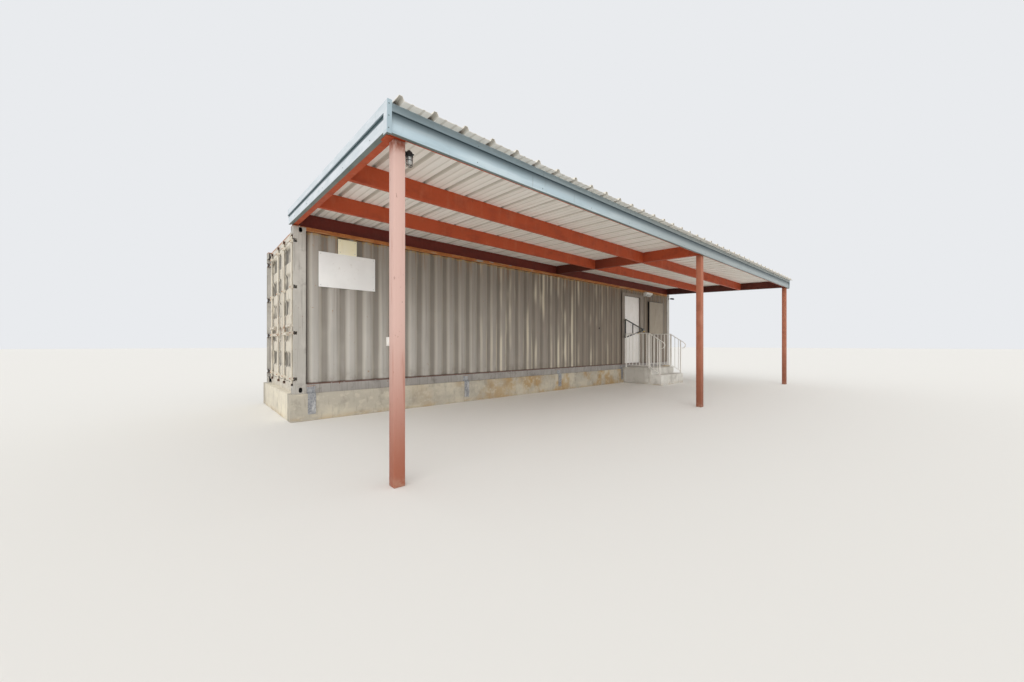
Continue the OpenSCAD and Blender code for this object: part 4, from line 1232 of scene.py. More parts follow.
@dataclass
class EntrySteps:
    """Precast steps with a railing on each side."""

    edge: float = 0.009
    newels: Span = (-0.08, 0.09)
    last_newel: float = 0.235
    platform_d: float = 0.93
    strip_out: float = 0.05
    flange: float = 0.085
    flange_t: float = 0.007
    flange_edge: float = 0.002
    margin: float = 0.004
    bolt_w: float = 0.011
    bolt_in: float = 0.014
    bolts_apart: float = 0.056
    # The sloping hand bar's turn, run and fall, half its thickness, and the scroll at its end
    hand_turn: float = -0.89
    hand_run: float = 0.48
    hand_fall: float = 0.307
    hand_half: float = 0.008
    scroll_from: float = -1.312
    scroll_r: float = 0.092
    scroll_w: float = 0.036
    scroll_t: float = 0.014
    scroll_deg: float = 160.0
    scroll_steps: int = 16

    def build(self) -> None:
        """Finish the steps and the railings, and add the newels' flanges."""
        stand_in(softened("entry_steps", self.edge), "entry_steps", PRECAST)
        self.scrolled("railing_left")
        self.scrolled("railing_right")
        steps_low, steps_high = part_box("entry_steps")
        back = CORNER.y - self.strip_out
        front = back - self.platform_d
        flanges, bolts = bmesh.new(), bmesh.new()
        for name in ("railing_left", "railing_right"):
            low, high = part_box(name)
            x = (low.x + high.x) / 2
            feet = ((back + self.newels[0], steps_high.z), (front + self.newels[1], steps_high.z),
                    (front - self.last_newel, low.z))
            for y, z in feet:
                self.flange_at(flanges, bolts, Vector((x, y, z)), steps_low.x, steps_high.x)
        piece(flanges, "railing_flanges", RAILING)
        piece(bolts, "railing_bolts", ZINC)

    def scrolled(self, name: str) -> None:
        """Bend the end of a railing's hand bar down and back in the wide scroll that the photo shows.

        Args:
            name: The railing's CAD node.
        """
        low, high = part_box(name)
        bm = merged(name)
        bmesh.ops.bisect_plane(bm, geom=everything(bm), plane_co=spot(0, self.scroll_from, 0),
                               plane_no=OUTWARD, clear_outer=True)
        bmesh.ops.holes_fill(bm, edges=[edge for edge in bm.edges if edge.is_boundary], sides=0)
        bmesh.ops.dissolve_degenerate(bm, edges=bm.edges, dist=10 * MERGE)
        fall = (self.hand_turn - self.scroll_from) * self.hand_fall / self.hand_run + self.hand_half
        along = Vector((0, -self.hand_run, -self.hand_fall)).normalized()
        below = along.cross(LEFTWARD)
        # The scroll starts inside the cut end and runs straight out of it before it turns
        start = Vector(((low.x + high.x) / 2, CORNER.y + self.scroll_from, high.z - fall))
        start -= along * self.scroll_t
        turn_at = start + along * (2 * self.scroll_t)
        side, drop = RIGHTWARD * (self.scroll_w / 2), below * (self.scroll_t / 2)
        face = bm.faces.new([bm.verts.new(start + a * side + b * drop)
                             for a, b in ((-1, -1), (1, -1), (1, 1), (-1, 1))])
        tip = bmesh.ops.extrude_face_region(bm, geom=[face])["geom"]
        moved = [item for item in tip if isinstance(item, BMVert)]
        bmesh.ops.translate(bm, verts=moved, vec=turn_at - start)
        end = [item for item in tip if isinstance(item, BMFace)]
        bmesh.ops.spin(bm, geom=[*end, *end[0].edges, *moved], cent=turn_at + below * self.scroll_r,
                       axis=RIGHTWARD, angle=math.radians(self.scroll_deg), steps=self.scroll_steps)
        stand_in(bm, name, RAILING)

    def flange_at(self, flanges: BMesh, bolts: BMesh, foot: Vector, left: float, right: float) -> None:
        """Add one flange with its bolts, kept on the steps.

        Args:
            flanges: The mesh for the plate.
            bolts: The mesh for the bolts.
            foot: The newel's foot.
            left: The steps' left side.
            right: The steps' right side.
        """
        half = self.flange / 2
        x1 = max(foot.x - half, left + self.margin)
        x2 = min(foot.x + half, right - self.margin)
        top = foot.z + self.flange_t
        block(flanges, Vector((x1, foot.y - half, foot.z)), Vector((x2, foot.y + half, top)),
              self.flange_edge)
        x = x2 - self.bolt_in if foot.x - left < right - foot.x else x1 + self.bolt_in
        for y in (foot.y - self.bolts_apart / 2, foot.y + self.bolts_apart / 2):
            bolt(bolts, Vector((x, y, top)), UPWARD, self.bolt_w)


@dataclass
class ContainerShell:
    """The container's frame, corrugated walls, roof and floor."""

    # The bends' roundness, and the least and the most that a bend turns
    bend: float = 0.009
    bend_deg: Span = (12.0, 60.0)
    dents: float = 0.005
    dent_size: float = 0.5
    row: float = 0.2
    browned: Span = (0.5, 9.0)
    seal: float = 0.006
    # The cable's grommet in the front wall, and the plug in it
    cable: tuple[float, float, float] = (7.85, 0.006, 1.66)
    grommet_r: float = 0.024
    grommet_t: float = 0.006
    plug_r: float = 0.022
    plug_t: float = 0.004
    # The castings' holes: their long and short side, how far their rims reach in shares of those,
    # and their centres' distances from the container's faces
    casting_wall: float = 0.03
    hole_l: float = 0.079
    hole_w: float = 0.051
    rim: float = 0.52
    hole_x: float = 0.101
    hole_y: float = 0.089
    hole_z: float = 0.057

    def build(self) -> None:
        """Finish the frame, and press, dent and paint the sheets."""
        self.castings()
        dress(POST, "corner_posts")
        dress(TOP_RAIL, "top_rails")
        dress(CARGO_FRAME, "cargo_end_frame")
        dress(BOTTOM_RAIL, "bottom_rails")
        dress(BLIND_RAIL, "blind_end_rails")
        dress(DECK, "floor_deck")
        dress(UNDERSIDE, "cross_members")
        self.walls()
        self.seals()
        self.cable_hole()

    def castings(self) -> None:
        """Turn the holes in the corner castings' sides upright, as the photo shows them."""
        bm = merged("corner_castings")
        slim = self.hole_w / self.hole_l
        middle = (CORNER + FAR_CORNER) / 2
        for vert in bm.verts:
            deep = Vector([min(vert.co[axis] - CORNER[axis], FAR_CORNER[axis] - vert.co[axis])
                           for axis in Axis])
            for out, run, centre in ((Axis.Y, Axis.X, self.hole_x), (Axis.X, Axis.Y, self.hole_y)):
                aside, rise = deep[run] - centre, deep[Axis.Z] - self.hole_z
                if (deep[out] < self.casting_wall and abs(aside) < self.rim * self.hole_l
                        and abs(rise) < self.rim * self.hole_w):
                    for axis, move in ((run, aside * (slim - 1)), (Axis.Z, rise * (1 / slim - 1))):
                        vert.co[axis] += move if vert.co[axis] < middle[axis] else -move
        stand_in(bm, "corner_castings", CASTING)

    def walls(self) -> None:
        """Stand pressed and dented sheets in for the plain walls and the roof."""
        low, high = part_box("front_wall_left")
        height = {"foot": low.z, "top": high.z}
        brown_from, brown_to = (CORNER.x + place for place in self.browned)
        front = ChalkedPaint("container_paint", crest=low.y, valley=high.y, brown_x=(brown_from, brown_to),
                             **height)
        low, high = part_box("rear_wall")
        rear = ChalkedPaint("rear_paint", crest=high.y, valley=low.y, **height)
        low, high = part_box("blind_end_wall")
        end = ChalkedPaint("end_paint", depth_axis=Axis.X, crest=high.x, valley=low.x, **height)
        low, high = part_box("container_roof")
        roof = ChalkedPaint("container_roof_paint", paint="#a9a297", chalk="#b9b2a6", depth_axis=Axis.Z,
                            crest=high.z, valley=low.z)
        for node, finish in (("front_wall_left", front), ("front_wall_over_door", front),
                             ("front_wall_right", front), ("rear_wall", rear), ("blind_end_wall", end)):
            self.pressed(node, finish, Axis.Z)
        self.pressed("container_roof", roof, Axis.Y)

    def pressed(self, node: str, finish: Finish, run: Axis) -> None:
        """Round the bends of a corrugated sheet, dent it and let it stand in for its node.

        Args:
            node: The CAD node.
            finish: The sheet's finish.
            run: The axis that the waves run along.
        """
        bm = merged(node)
        least, most = (math.radians(turn) for turn in self.bend_deg)
        # A facet that is too narrow for two bends keeps its plain edges
        rounded(bm, [e for e in bm.edges if len(e.link_faces) == 2 and least < e.calc_face_angle() < most
                     and min(face.calc_area() for face in e.link_faces) > 2 * self.bend * e.calc_length()],
                self.bend)
        low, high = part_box(node)
        cut_rows(bm, low, high, run, self.row)
        dent(bm, low, high, self.dents, self.dent_size)
        stand_in(bm, node, finish)

    def seals(self) -> None:
        """Run dark sealant down the joints between the corner posts and the long walls."""
        low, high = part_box("rear_wall")
        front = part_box("front_wall_left")[0].y
        bm = bmesh.new()
        for x in (low.x, high.x):
            for y in (front, high.y):
                rod(bm, Vector((x, y, low.z)), Vector((x, y, high.z)), self.seal, sides=8)
        piece(bm, "wall_sealant", SEAL)

    def cable_hole(self) -> None:
        """Set a small rubber grommet into the front wall."""
        place, half = spot(*self.cable), OUTWARD * (self.plug_t / 2)
        bm = bmesh.new()
        ring(bm, place, OUTWARD, self.grommet_r, self.grommet_t)
        rod(bm, place - half, place + half, self.plug_r)
        piece(bm, "cable_grommet", SEAL)


@dataclass
class CargoDoors:
    """The two leaves at the cargo end with their gear."""

    leaf_edge: float = 0.092
    leaf_face: float = 0.062
    gasket_w: float = 0.005
    gasket_deep: float = 0.016
    gasket_in: float = 0.001
    gasket_edge: float = 0.0015
    strap_face: float = 0.05
    strap_bolt: float = 0.016
    strap_bolts: tuple[float, ...] = (0.125, 0.17, 0.22)
    hinges: int = 4
    hinge_end: float = 0.232
    rods: Span = (0.32, 0.96)
    guides: int = 4
    guide_in: float = 0.06
    guide_face: float = 0.018
    guide_bolt: float = 0.011
    guide_ear: float = 0.024

    def build(self) -> None:
        """Finish the leaves and the gear, and add seals and bolts."""
        dress(CREAM, "cargo_door_front", "cargo_door_rear")
        dress(GEAR, "lock_rods_front", "lock_rods_rear")
        dress(HINGE, "hinge_lugs", "rod_keepers")
        for body, side in ((Body.CARGO_FRONT, Side.FRONT), (Body.CARGO_REAR, Side.REAR)):
            self.gasket(body, side)
            self.bolts(body, side)

    def across(self, y: float, side: Side) -> float:
        """Give a place across the container, mirrored for the rear leaf."""
        return CORNER.y + y if side == Side.FRONT else FAR_CORNER.y - y

    def gasket(self, body: Body, side: Side) -> None:
        """Run a rubber seal round a leaf's outer edge.

        Args:
            body: The leaf's body.
            side: The leaf's side.
        """
        low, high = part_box("cargo_door_" + side.value)
        ends = (self.across(self.leaf_edge, side), high.y if side == Side.FRONT else low.y)
        y1, y2 = min(ends), max(ends)
        x1 = CORNER.x + self.leaf_face + self.gasket_in
        x2 = x1 + self.gasket_deep
        w = self.gasket_w
        bm = bmesh.new()
        for a, b in (((y1 - w, low.z - w), (y1, high.z + w)), ((y2, low.z - w), (y2 + w, high.z + w)),
                     ((y1, low.z - w), (y2, low.z)), ((y1, high.z), (y2, high.z + w))):
            block(bm, Vector((x1, *a)), Vector((x2, *b)), self.gasket_edge)
        piece(bm, "door_gasket_" + side.value, SEAL, body)

    def bolts(self, body: Body, side: Side) -> None:
        """Bolt the hinge straps and the rods' guides to a leaf.

        Args:
            body: The leaf's body.
            side: The leaf's side.
        """
        bm = bmesh.new()
        span = FAR_CORNER.z - CORNER.z - 2 * self.hinge_end
        for i in range(self.hinges):
            z = CORNER.z + self.hinge_end + i * span / (self.hinges - 1)
            for y in self.strap_bolts:
                place = Vector((CORNER.x + self.strap_face, self.across(y, side), z))
                bolt(bm, place, LEFTWARD, self.strap_bolt)
        low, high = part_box("cargo_door_" + side.value)
        span = high.z - low.z - 2 * self.guide_in
        for i in range(self.guides):
            z = low.z + self.guide_in + i * span / (self.guides - 1)
            for y in self.rods:
                for shift in (-self.guide_ear, self.guide_ear):
                    place = Vector((CORNER.x + self.guide_face, self.across(y + shift, side), z))
                    bolt(bm, place, LEFTWARD, self.guide_bolt)
        piece(bm, "leaf_bolts_" + side.value, WELD, body)


@dataclass
class SideDoor:
    """The side door, its frame and the security bar across it."""

    rubber: float = 0.005
    rubber_gap: float = 0.001
    opening: Span = (9.205, 10.165)
    head_gap: float = 0.006
    leaf_t: float = 0.044
    # The threshold: its height over the container's foot, its play, its plate and the ribs on it
    sill: float = 0.16
    play: float = 0.002
    plate_y: float = 0.05
    plate_t: float = 0.003
    plate_edge: float = 0.001
    ribs: int = 4
    rib_from: float = 0.008
    rib_pitch: float = 0.011
    rib_w: float = 0.004
    rib_h: float = 0.002
    rib_edge: float = 0.0008
    knob: Profile = ((0, 0), (0.032, 0), (0.032, 0.003), (0.029, 0.006), (0.014, 0.009), (0.011, 0.015),
                     (0.012, 0.022), (0.019, 0.028), (0.024, 0.037), (0.024, 0.046), (0.02, 0.055),
                     (0.012, 0.061), (0, 0.062))

    def build(self) -> None:
        """Finish the door's parts, and add its seal, knobs and threshold."""
        dress(FRAME, "door_frame")
        dress(DOOR, "personnel_door")
        dress(BAR, "lock_bar")
        self.weatherstrip()
        self.threshold()
        self.knobs()

    def weatherstrip(self) -> None:
        """Run a rubber bulb seal round the opening, just in front of the leaf."""
        low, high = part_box("personnel_door")
        y = low.y - self.rubber - self.rubber_gap
        top = high.z + self.head_gap - self.rubber
        left, right = (CORNER.x + x for x in self.opening)
        bm = bmesh.new()
        for x in (left + self.rubber, right - self.rubber):
            rod(bm, Vector((x, y, low.z)), Vector((x, y, top)), self.rubber, sides=10)
        rod(bm, Vector((left, y, top)), Vector((right, y, top)), self.rubber, sides=10)
        piece(bm, "door_weatherstrip", SEAL)

    def threshold(self) -> None:
        """Lay a ribbed aluminium threshold on the sill."""
        z = CORNER.z + self.sill
        top = z + self.plate_t
        x1, x2 = self.opening[0] + self.play, self.opening[1] - self.play
        bm = bmesh.new()
        block(bm, spot(x1, self.play, z), spot(x2, self.plate_y, top), self.plate_edge)
        for i in range(self.ribs):
            y = self.rib_from + i * self.rib_pitch
            block(bm, spot(x1, y, top), spot(x2, y + self.rib_w, top + self.rib_h), self.rib_edge)
        piece(bm, "door_threshold", MILL_ALUMINIUM)

    def knobs(self) -> None:
        """Turn a knob on its rose for each face of the leaf."""
        low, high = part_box("door_knob")
        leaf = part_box("personnel_door")[0].y
        middle = (low + high) / 2
        bm = bmesh.new()
        for y, facing in ((leaf, OUTWARD), (leaf + self.leaf_t, -OUTWARD)):
            turned(bm, self.knob, Vector((middle.x, y, middle.z)), facing)
        stand_in(bm, "door_knob", BRASS, Body.LEAF)


@dataclass
class Padlock:
    """The padlock on the security bar: a laminated brass body and a plated shackle."""

    body_h: float = 0.046
    edge: float = 0.003
    plates: int = 5
    pitch: float = 0.007
    plate_h: float = 0.005
    plate_in: float = 0.002
    plate_out: float = 0.0006
    plate_deep: float = 0.004
    plate_edge: float = 0.0005
    keyway_r: float = 0.007
    keyway: Span = (0.003, -0.002)
    shackle_r: float = 0.013
    shackle_t: float = 0.004
    shackle_in: float = 0.01

    def build(self) -> None:
        """Stack the body's plates, plug its keyway and bend the shackle."""
        low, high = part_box("padlock")
        middle = (low + high) / 2
        top = low.z + self.body_h
        bm = bmesh.new()
        block(bm, low, Vector((high.x, high.y, top)), self.edge)
        for i in range(1, self.plates + 1):
            z = low.z + i * self.pitch
            block(bm, Vector((low.x + self.plate_in, low.y - self.plate_out, z)),
                  Vector((high.x - self.plate_in, low.y + self.plate_deep, z + self.plate_h)),
                  self.plate_edge)
        start, end = (Vector((middle.x, middle.y, low.z + up)) for up in self.keyway)
        rod(bm, start, end, self.keyway_r)
        stand_in(bm, "padlock", BRASS, Body.BAR)
        bend = Vector((middle.x, low.y + self.shackle_in, high.z - self.shackle_r - self.shackle_t))
        arch = bmesh.new()
        for side in (-self.shackle_r, self.shackle_r):
            rod(arch, Vector((bend.x + side, bend.y, top)), bend + RIGHTWARD * side, self.shackle_t, sides=12)
        ring(arch, bend, -OUTWARD, self.shackle_r, self.shackle_t, math.pi)
        piece(arch, "padlock_shackle", CHROME, Body.BAR)


@dataclass
class Window:
    """The window and the steel shutter closed over it."""

    # The strip folded round the shutter, near black as painted shade on its sides, and the hinge along its
    # top
    edge: float = 0.0025
    edge_round: float = 0.0008
    edge_back: float = 0.002
    knuckle: float = 0.062
    knuckle_gap: float = 0.002
    knuckle_in: float = 0.02
    pin: float = 0.007
    bead: float = 0.004

    def build(self) -> None:
        """Finish the window, edge the shutter and hinge it along its top."""
        dress(MILL_ALUMINIUM, "window_frame")
        dress(GLASS, "window_glass")
        dress(SHUTTER, "window_shutter")
        self.edging()
        self.glazing()

    def edging(self) -> None:
        """Fold a near-black strip round the shutter's rim as painted shade on its sides, with a piano hinge
        on top.
        """
        low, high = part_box("window_shutter")
        left, right = low.x - self.edge, high.x + self.edge
        foot, top = low.z - self.edge, high.z + self.edge
        y1, y2 = low.y + self.edge_back, CORNER.y
        bm = bmesh.new()
        for x1, z1, x2, z2 in ((left, foot, low.x, top), (high.x, foot, right, top),
                               (low.x, high.z, high.x, top), (low.x, foot, high.x, low.z)):
            block(bm, Vector((x1, y1, z1)), Vector((x2, y2, z2)), self.edge_round)
        pins = Vector((low.x + self.knuckle_in, low.y + self.pin, top + self.pin))
        for i in range(int((high.x - low.x - 2 * self.knuckle_in) / self.knuckle)):
            start = pins + RIGHTWARD * (i * self.knuckle)
            rod(bm, start, start + RIGHTWARD * (self.knuckle - self.knuckle_gap), self.pin, sides=12)
        piece(bm, "shutter_edging", SHUTTER_EDGE)

    def glazing(self) -> None:
        """Press a rubber bead round the glass."""
        low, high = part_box("window_glass")
        y = low.y - self.bead / 2
        bm = bmesh.new()
        corners = [Vector((x, y, z)) for x, z in
                   ((low.x, low.z), (high.x, low.z), (high.x, high.z), (low.x, high.z))]
        for start, end in zip(corners, corners[1:] + corners[:1]):
            rod(bm, start, end, self.bead, sides=8)
        piece(bm, "glazing_bead", SEAL)


@dataclass
class Canopy:
    """The lean-to canopy: posts, beams, ribbed roof and folded trims."""

    post_edge: float = 0.007
    # The roof's ribs and the screws beside them, in lines at these distances up the slope
    rib_pitch: float = 0.3048
    screw_first: float = 0.072
    ribs: int = 40
    screw_lines: tuple[float, ...] = (0.03, 1.25, 2.474, 3.69)
    screw_z: float = 0.002
    screw: float = 0.012
    rafter_w: float = 0.09
    beam_h: float = 0.203
    rake_out: float = 0.013
    weld: float = 0.004
    weld_top: float = 0.004
    # How far the trims' faces stand out, and the strips folded back under them
    band_face: float = 0.037
    lower_face: float = 0.027
    cap_face: float = 0.039
    fold_t: float = 0.0015
    fold_in: float = 0.008
    fold_edge: float = 0.0004
    fold_back: float = 0.003
    fascia_h: float = 0.224
    lower_out: float = 0.04
    # The trims' screws: bays between them, and how far down and in they sit
    head: float = 0.011
    fascia_bays: int = 14
    band_down: float = 0.045
    lower_down: float = 0.19
    cap_leg: float = 0.012
    cap_down: tuple[float, ...] = (0.012, 0.105, 0.2)
    rake_screws: int = 5
    rake_first: float = 0.35
    rake_pitch: float = 0.74
    rake_down: float = 0.16
    rake_in: float = 0.012

    def build(self) -> None:
        """Finish the steel, and screw down the roof and its trims."""
        stand_in(softened("canopy_posts", self.post_edge), "canopy_posts", POST_OXIDE)
        dress(OXIDE, "purlins", "eave_beam")
        dress(RAFTER_OXIDE, "rafters")
        dress(MAROON, "ledger")
        dress(FASCIA, "front_fascia")
        dress(RAKE, "rake_trims")
        self.sheets()
        self.roof_screws()
        self.returns()
        self.trim_screws()
        self.welds()

    def sheets(self) -> None:
        """Copy the roof sheets, so that their underside gets its own coating."""
        bm = merged("canopy_roof")
        bmesh.ops.recalc_face_normals(bm, faces=bm.faces)
        for face in bm.faces:
            face.material_index = int(face.normal.dot(ROOF_OUT) < -0.1)
        made = piece(bm, "canopy_roof_finished", ROOF_SHEET)
        made.data.materials.append(material_of(ROOF_UNDER))
        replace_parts(made, "canopy_roof")

    def slope_run(self) -> float:
        """Give the length of the slope from the front of the beams to the ledger."""
        return (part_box("ledger")[0].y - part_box("eave_beam")[0].y) * math.sqrt(1 + RISE**2)

    def returns(self) -> None:
        """Fold the trims' lower edges back under the steel behind them."""
        length = FAR_CORNER.x - CORNER.x
        left, right = -self.lower_out, length + self.lower_out
        front, back = self.fold_back - self.lower_face, self.slope_run()
        rake, fascia = -self.beam_h, -self.fascia_h
        bm = bmesh.new()
        for x1, x2, y1, y2, top in ((left, self.fold_in, front, back, rake),
                                    (length - self.fold_in, right, front, back, rake),
                                    (left, right, -self.lower_face, self.fold_in, fascia)):
            block(bm, Vector((x1, y1, top - self.fold_t)), Vector((x2, y2, top)), self.fold_edge, ROOF)
        piece(bm, "trim_returns", TRIM_RETURN)

    def roof_screws(self) -> None:
        """Screw each sheet to every beam, beside its ribs."""
        bm = bmesh.new()
        for along in self.screw_lines:
            for i in range(self.ribs):
                x = self.screw_first + i * self.rib_pitch
                bolt(bm, ROOF @ Vector((x, along, self.screw_z)), ROOF_OUT, self.screw)
        piece(bm, "roof_screws", ROOF_SHEET)

    def trim_screws(self) -> None:
        """Screw the fascia, the rakes and the corner caps to the steel behind them."""
        bm = bmesh.new()
        left, right = (corner.x - CORNER.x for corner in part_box("front_fascia"))
        for i in range(1, self.fascia_bays):
            x = left + i * (right - left) / self.fascia_bays
            for face, down in ((self.band_face, self.band_down), (self.lower_face, self.lower_down)):
                pan_head(bm, ROOF @ Vector((x, -face, -down)), ROOF_FRONT, self.head)
        for x in (left + self.cap_leg, right - self.cap_leg):
            for down in self.cap_down:
                pan_head(bm, ROOF @ Vector((x, -self.cap_face, -down)), ROOF_FRONT, self.head)
        left, right = (corner.x - CORNER.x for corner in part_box("rake_trims"))
        for x, facing in ((left + self.rake_in, LEFTWARD), (right - self.rake_in, RIGHTWARD)):
            for i in range(self.rake_screws):
                y = self.rake_first + i * self.rake_pitch
                pan_head(bm, ROOF @ Vector((x, y, -self.rake_down)), facing, self.head)
        piece(bm, "trim_screws", TRIM_SCREW)

    def welds(self) -> None:
        """Weld the purlins to the rafters with a bead down each joint."""
        bm = bmesh.new()
        outer = self.rafter_w - self.rake_out
        length = FAR_CORNER.x - CORNER.x
        for x in (outer, (length - self.rafter_w) / 2, (length + self.rafter_w) / 2, length - outer):
            for share in (1 / 3, 2 / 3):
                top, foot = (ROOF @ Vector((x, self.slope_run() * share, -down))
                             for down in (self.weld_top, self.beam_h))
                rod(bm, top, foot, self.weld, sides=8)
        piece(bm, "purlin_welds", OXIDE)


@dataclass
class Boards:
    """The sign and the notice, screwed to the front wall."""

    inset: float = 0.03
    screw: float = 0.012
    edge: float = 0.004
    # The notice's cover puckers this much, in waves this wide, and is cut this fine for it
    pucker: float = 0.006
    pucker_w: float = 0.16
    row: float = 0.03

    def build(self) -> None:
        """Finish the boards and screw them to the wall."""
        dress(SIGN, "sign_board")
        self.notice()
        bm = bmesh.new()
        for name in ("sign_board", "notice_box"):
            low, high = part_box(name)
            for x in (low.x + self.inset, high.x - self.inset):
                for z in (low.z + self.inset, high.z - self.inset):
                    pan_head(bm, Vector((x, low.y, z)), OUTWARD, self.screw)
        piece(bm, "board_screws", ZINC)

    def notice(self) -> None:
        """Let the notice's cover pucker a little."""
        low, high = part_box("notice_box")
        bm = softened("notice_box", self.edge)
        for run in (Axis.X, Axis.Z):
            cut_rows(bm, low, high, run, self.row)
        dent(bm, low, high, self.pucker, self.pucker_w)
        stand_in(bm, "notice_box", NOTICE)


@dataclass
class Outlet:
    """The weatherproof outlet: a deep box, a hinged lid with a snap, and screws."""

    edge: float = 0.006
    lid_in: float = 0.006
    lid_deep: float = 0.012
    lid_foot: float = 0.02
    lid_lap: float = 0.001
    lid_edge: float = 0.004
    hinge_r: float = 0.004
    hinge_foot: float = 0.03
    hinge_head: float = 0.02
    snap_x: Span = (0.02, 0.002)
    snap_z: Span = (0.066, 0.092)
    snap_in: float = 0.002
    snap_edge: float = 0.002
    screw: float = 0.008
    screw_x: float = 0.018
    screw_z: float = 0.01

    def build(self) -> None:
        """Put the lid, its hinge and its snap on the box."""
        low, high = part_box("outlet_box")
        face = low.y + self.lid_deep
        bm = bmesh.new()
        block(bm, Vector((low.x, face, low.z)), high, self.edge)
        block(bm, Vector((low.x + self.lid_in, low.y, low.z + self.lid_foot)),
              Vector((high.x - self.lid_in, face + self.lid_lap, high.z - self.lid_in)), self.lid_edge)
        start, end = (Vector((low.x + self.lid_in, face - self.hinge_r, z))
                      for z in (low.z + self.hinge_foot, high.z - self.hinge_head))
        rod(bm, start, end, self.hinge_r, sides=10)
        block(bm, Vector((high.x - self.snap_x[0], low.y + self.snap_in, low.z + self.snap_z[0])),
              Vector((high.x - self.snap_x[1], face, low.z + self.snap_z[1])), self.snap_edge)
        for x in (low.x + self.screw_x, high.x - self.screw_x):
            pan_head(bm, Vector((x, face, low.z + self.screw_z)), OUTWARD, self.screw)
        stand_in(bm, "outlet_box", PLASTIC)


@dataclass
class WallLight:
    """The light over the side door: a moulded hood and a ribbed lens."""

    edge: float = 0.006
    lens_back: float = 0.034
    lens_rise: float = 0.07
    lens_in: float = 0.015
    lens_end: float = 0.08
    lens_gap: float = 0.001
    ribs: int = 16
    rib_r: float = 0.006

    def build(self) -> None:
        """Round the light's hood and put a ribbed lens under it."""
        low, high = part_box("wall_light")
        stand_in(softened("wall_light", self.edge), "wall_light", PLASTIC)
        start = Vector((low.x + self.lens_in, high.y - self.lens_back, low.z))
        run = Vector((start.x, low.y, low.z + self.lens_rise)) - start
        start += Vector((0, -run.z, run.y)).normalized() * self.lens_gap
        step = RIGHTWARD * ((high.x - low.x - 2 * self.lens_in) / self.ribs)
        bm = bmesh.new()
        for i in range(self.ribs + 1):
            top = start + step * i
            rod(bm, top + run * self.lens_end, top + run * (1 - self.lens_end), self.rib_r, sides=10)
        piece(bm, "wall_light_lens", LAMP_GLASS)


@dataclass
class Floodlight:
    """The first post's lamp: a wall plate, an arm, a cap and a glass jar in a wire cage."""

    plate_drop: float = 0.032
    plate: Profile = ((0, 0), (0.03, 0), (0.03, 0.006), (0.024, 0.012), (0, 0.014))
    cap_out: float = 0.058
    cap_drop: float = 0.004
    cap: Profile = ((0, 0), (0.012, 0), (0.016, 0.008), (0.026, 0.014), (0.031, 0.03), (0.033, 0.052),
                    (0.028, 0.056), (0, 0.056))
    arm_from: float = 0.008
    arm_into: float = 0.028
    arm_r: float = 0.011
    # The cage hangs on lugs round the cap. Its places are distances down from the cap's top and out
    wires: int = 4
    lug_down: float = 0.036
    lug_out: Span = (0.026, 0.042)
    lug_r: float = 0.006
    wire: tuple[Span, Span] = ((0.05, 0.031), (0.13, 0.026))
    wire_r: float = 0.0022
    hoops: tuple[Span, Span] = ((0.088, 0.0285), (0.13, 0.026))
    jar: Profile = ((0, 0.055), (0.026, 0.055), (0.026, 0.105), (0.022, 0.122), (0.011, 0.132), (0, 0.134))
    bulb: Profile = ((0, 0.057), (0.011, 0.057), (0.012, 0.07), (0.019, 0.088), (0.017, 0.104), (0, 0.114))

    def build(self) -> None:
        """Turn the lamp's parts and wire the cage."""
        low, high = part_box("floodlight")
        down = -UPWARD
        top = Vector((low.x, (low.y + high.y) / 2, high.z))
        plate = top + down * self.plate_drop
        cap = top + RIGHTWARD * self.cap_out + down * self.cap_drop
        bm = bmesh.new()
        turned(bm, self.plate, plate, RIGHTWARD)
        rod(bm, plate + RIGHTWARD * self.arm_from, cap + down * self.arm_into, self.arm_r)
        turned(bm, self.cap, cap, down)
        for i in range(self.wires):
            side = Matrix.Rotation(math.tau * (i + 0.5) / self.wires, 3, "Z") @ RIGHTWARD
            start, end = (cap + down * self.lug_down + side * out for out in self.lug_out)
            rod(bm, start, end, self.lug_r, sides=10)
            start, end = (cap + down * along + side * out for along, out in self.wire)
            rod(bm, start, end, self.wire_r, sides=6)
        for along, radius in self.hoops:
            ring(bm, cap + down * along, down, radius, self.wire_r)
        stand_in(bm, "floodlight", BLACK)
        for name, profile, finish, slot in (("lamp_jar", self.jar, LAMP_GLASS, "glass"),
                                            ("lamp_bulb", self.bulb, PLASTIC, "white_plastic")):
            bm = bmesh.new()
            turned(bm, profile, cap, down)
            piece(bm, name, finish)


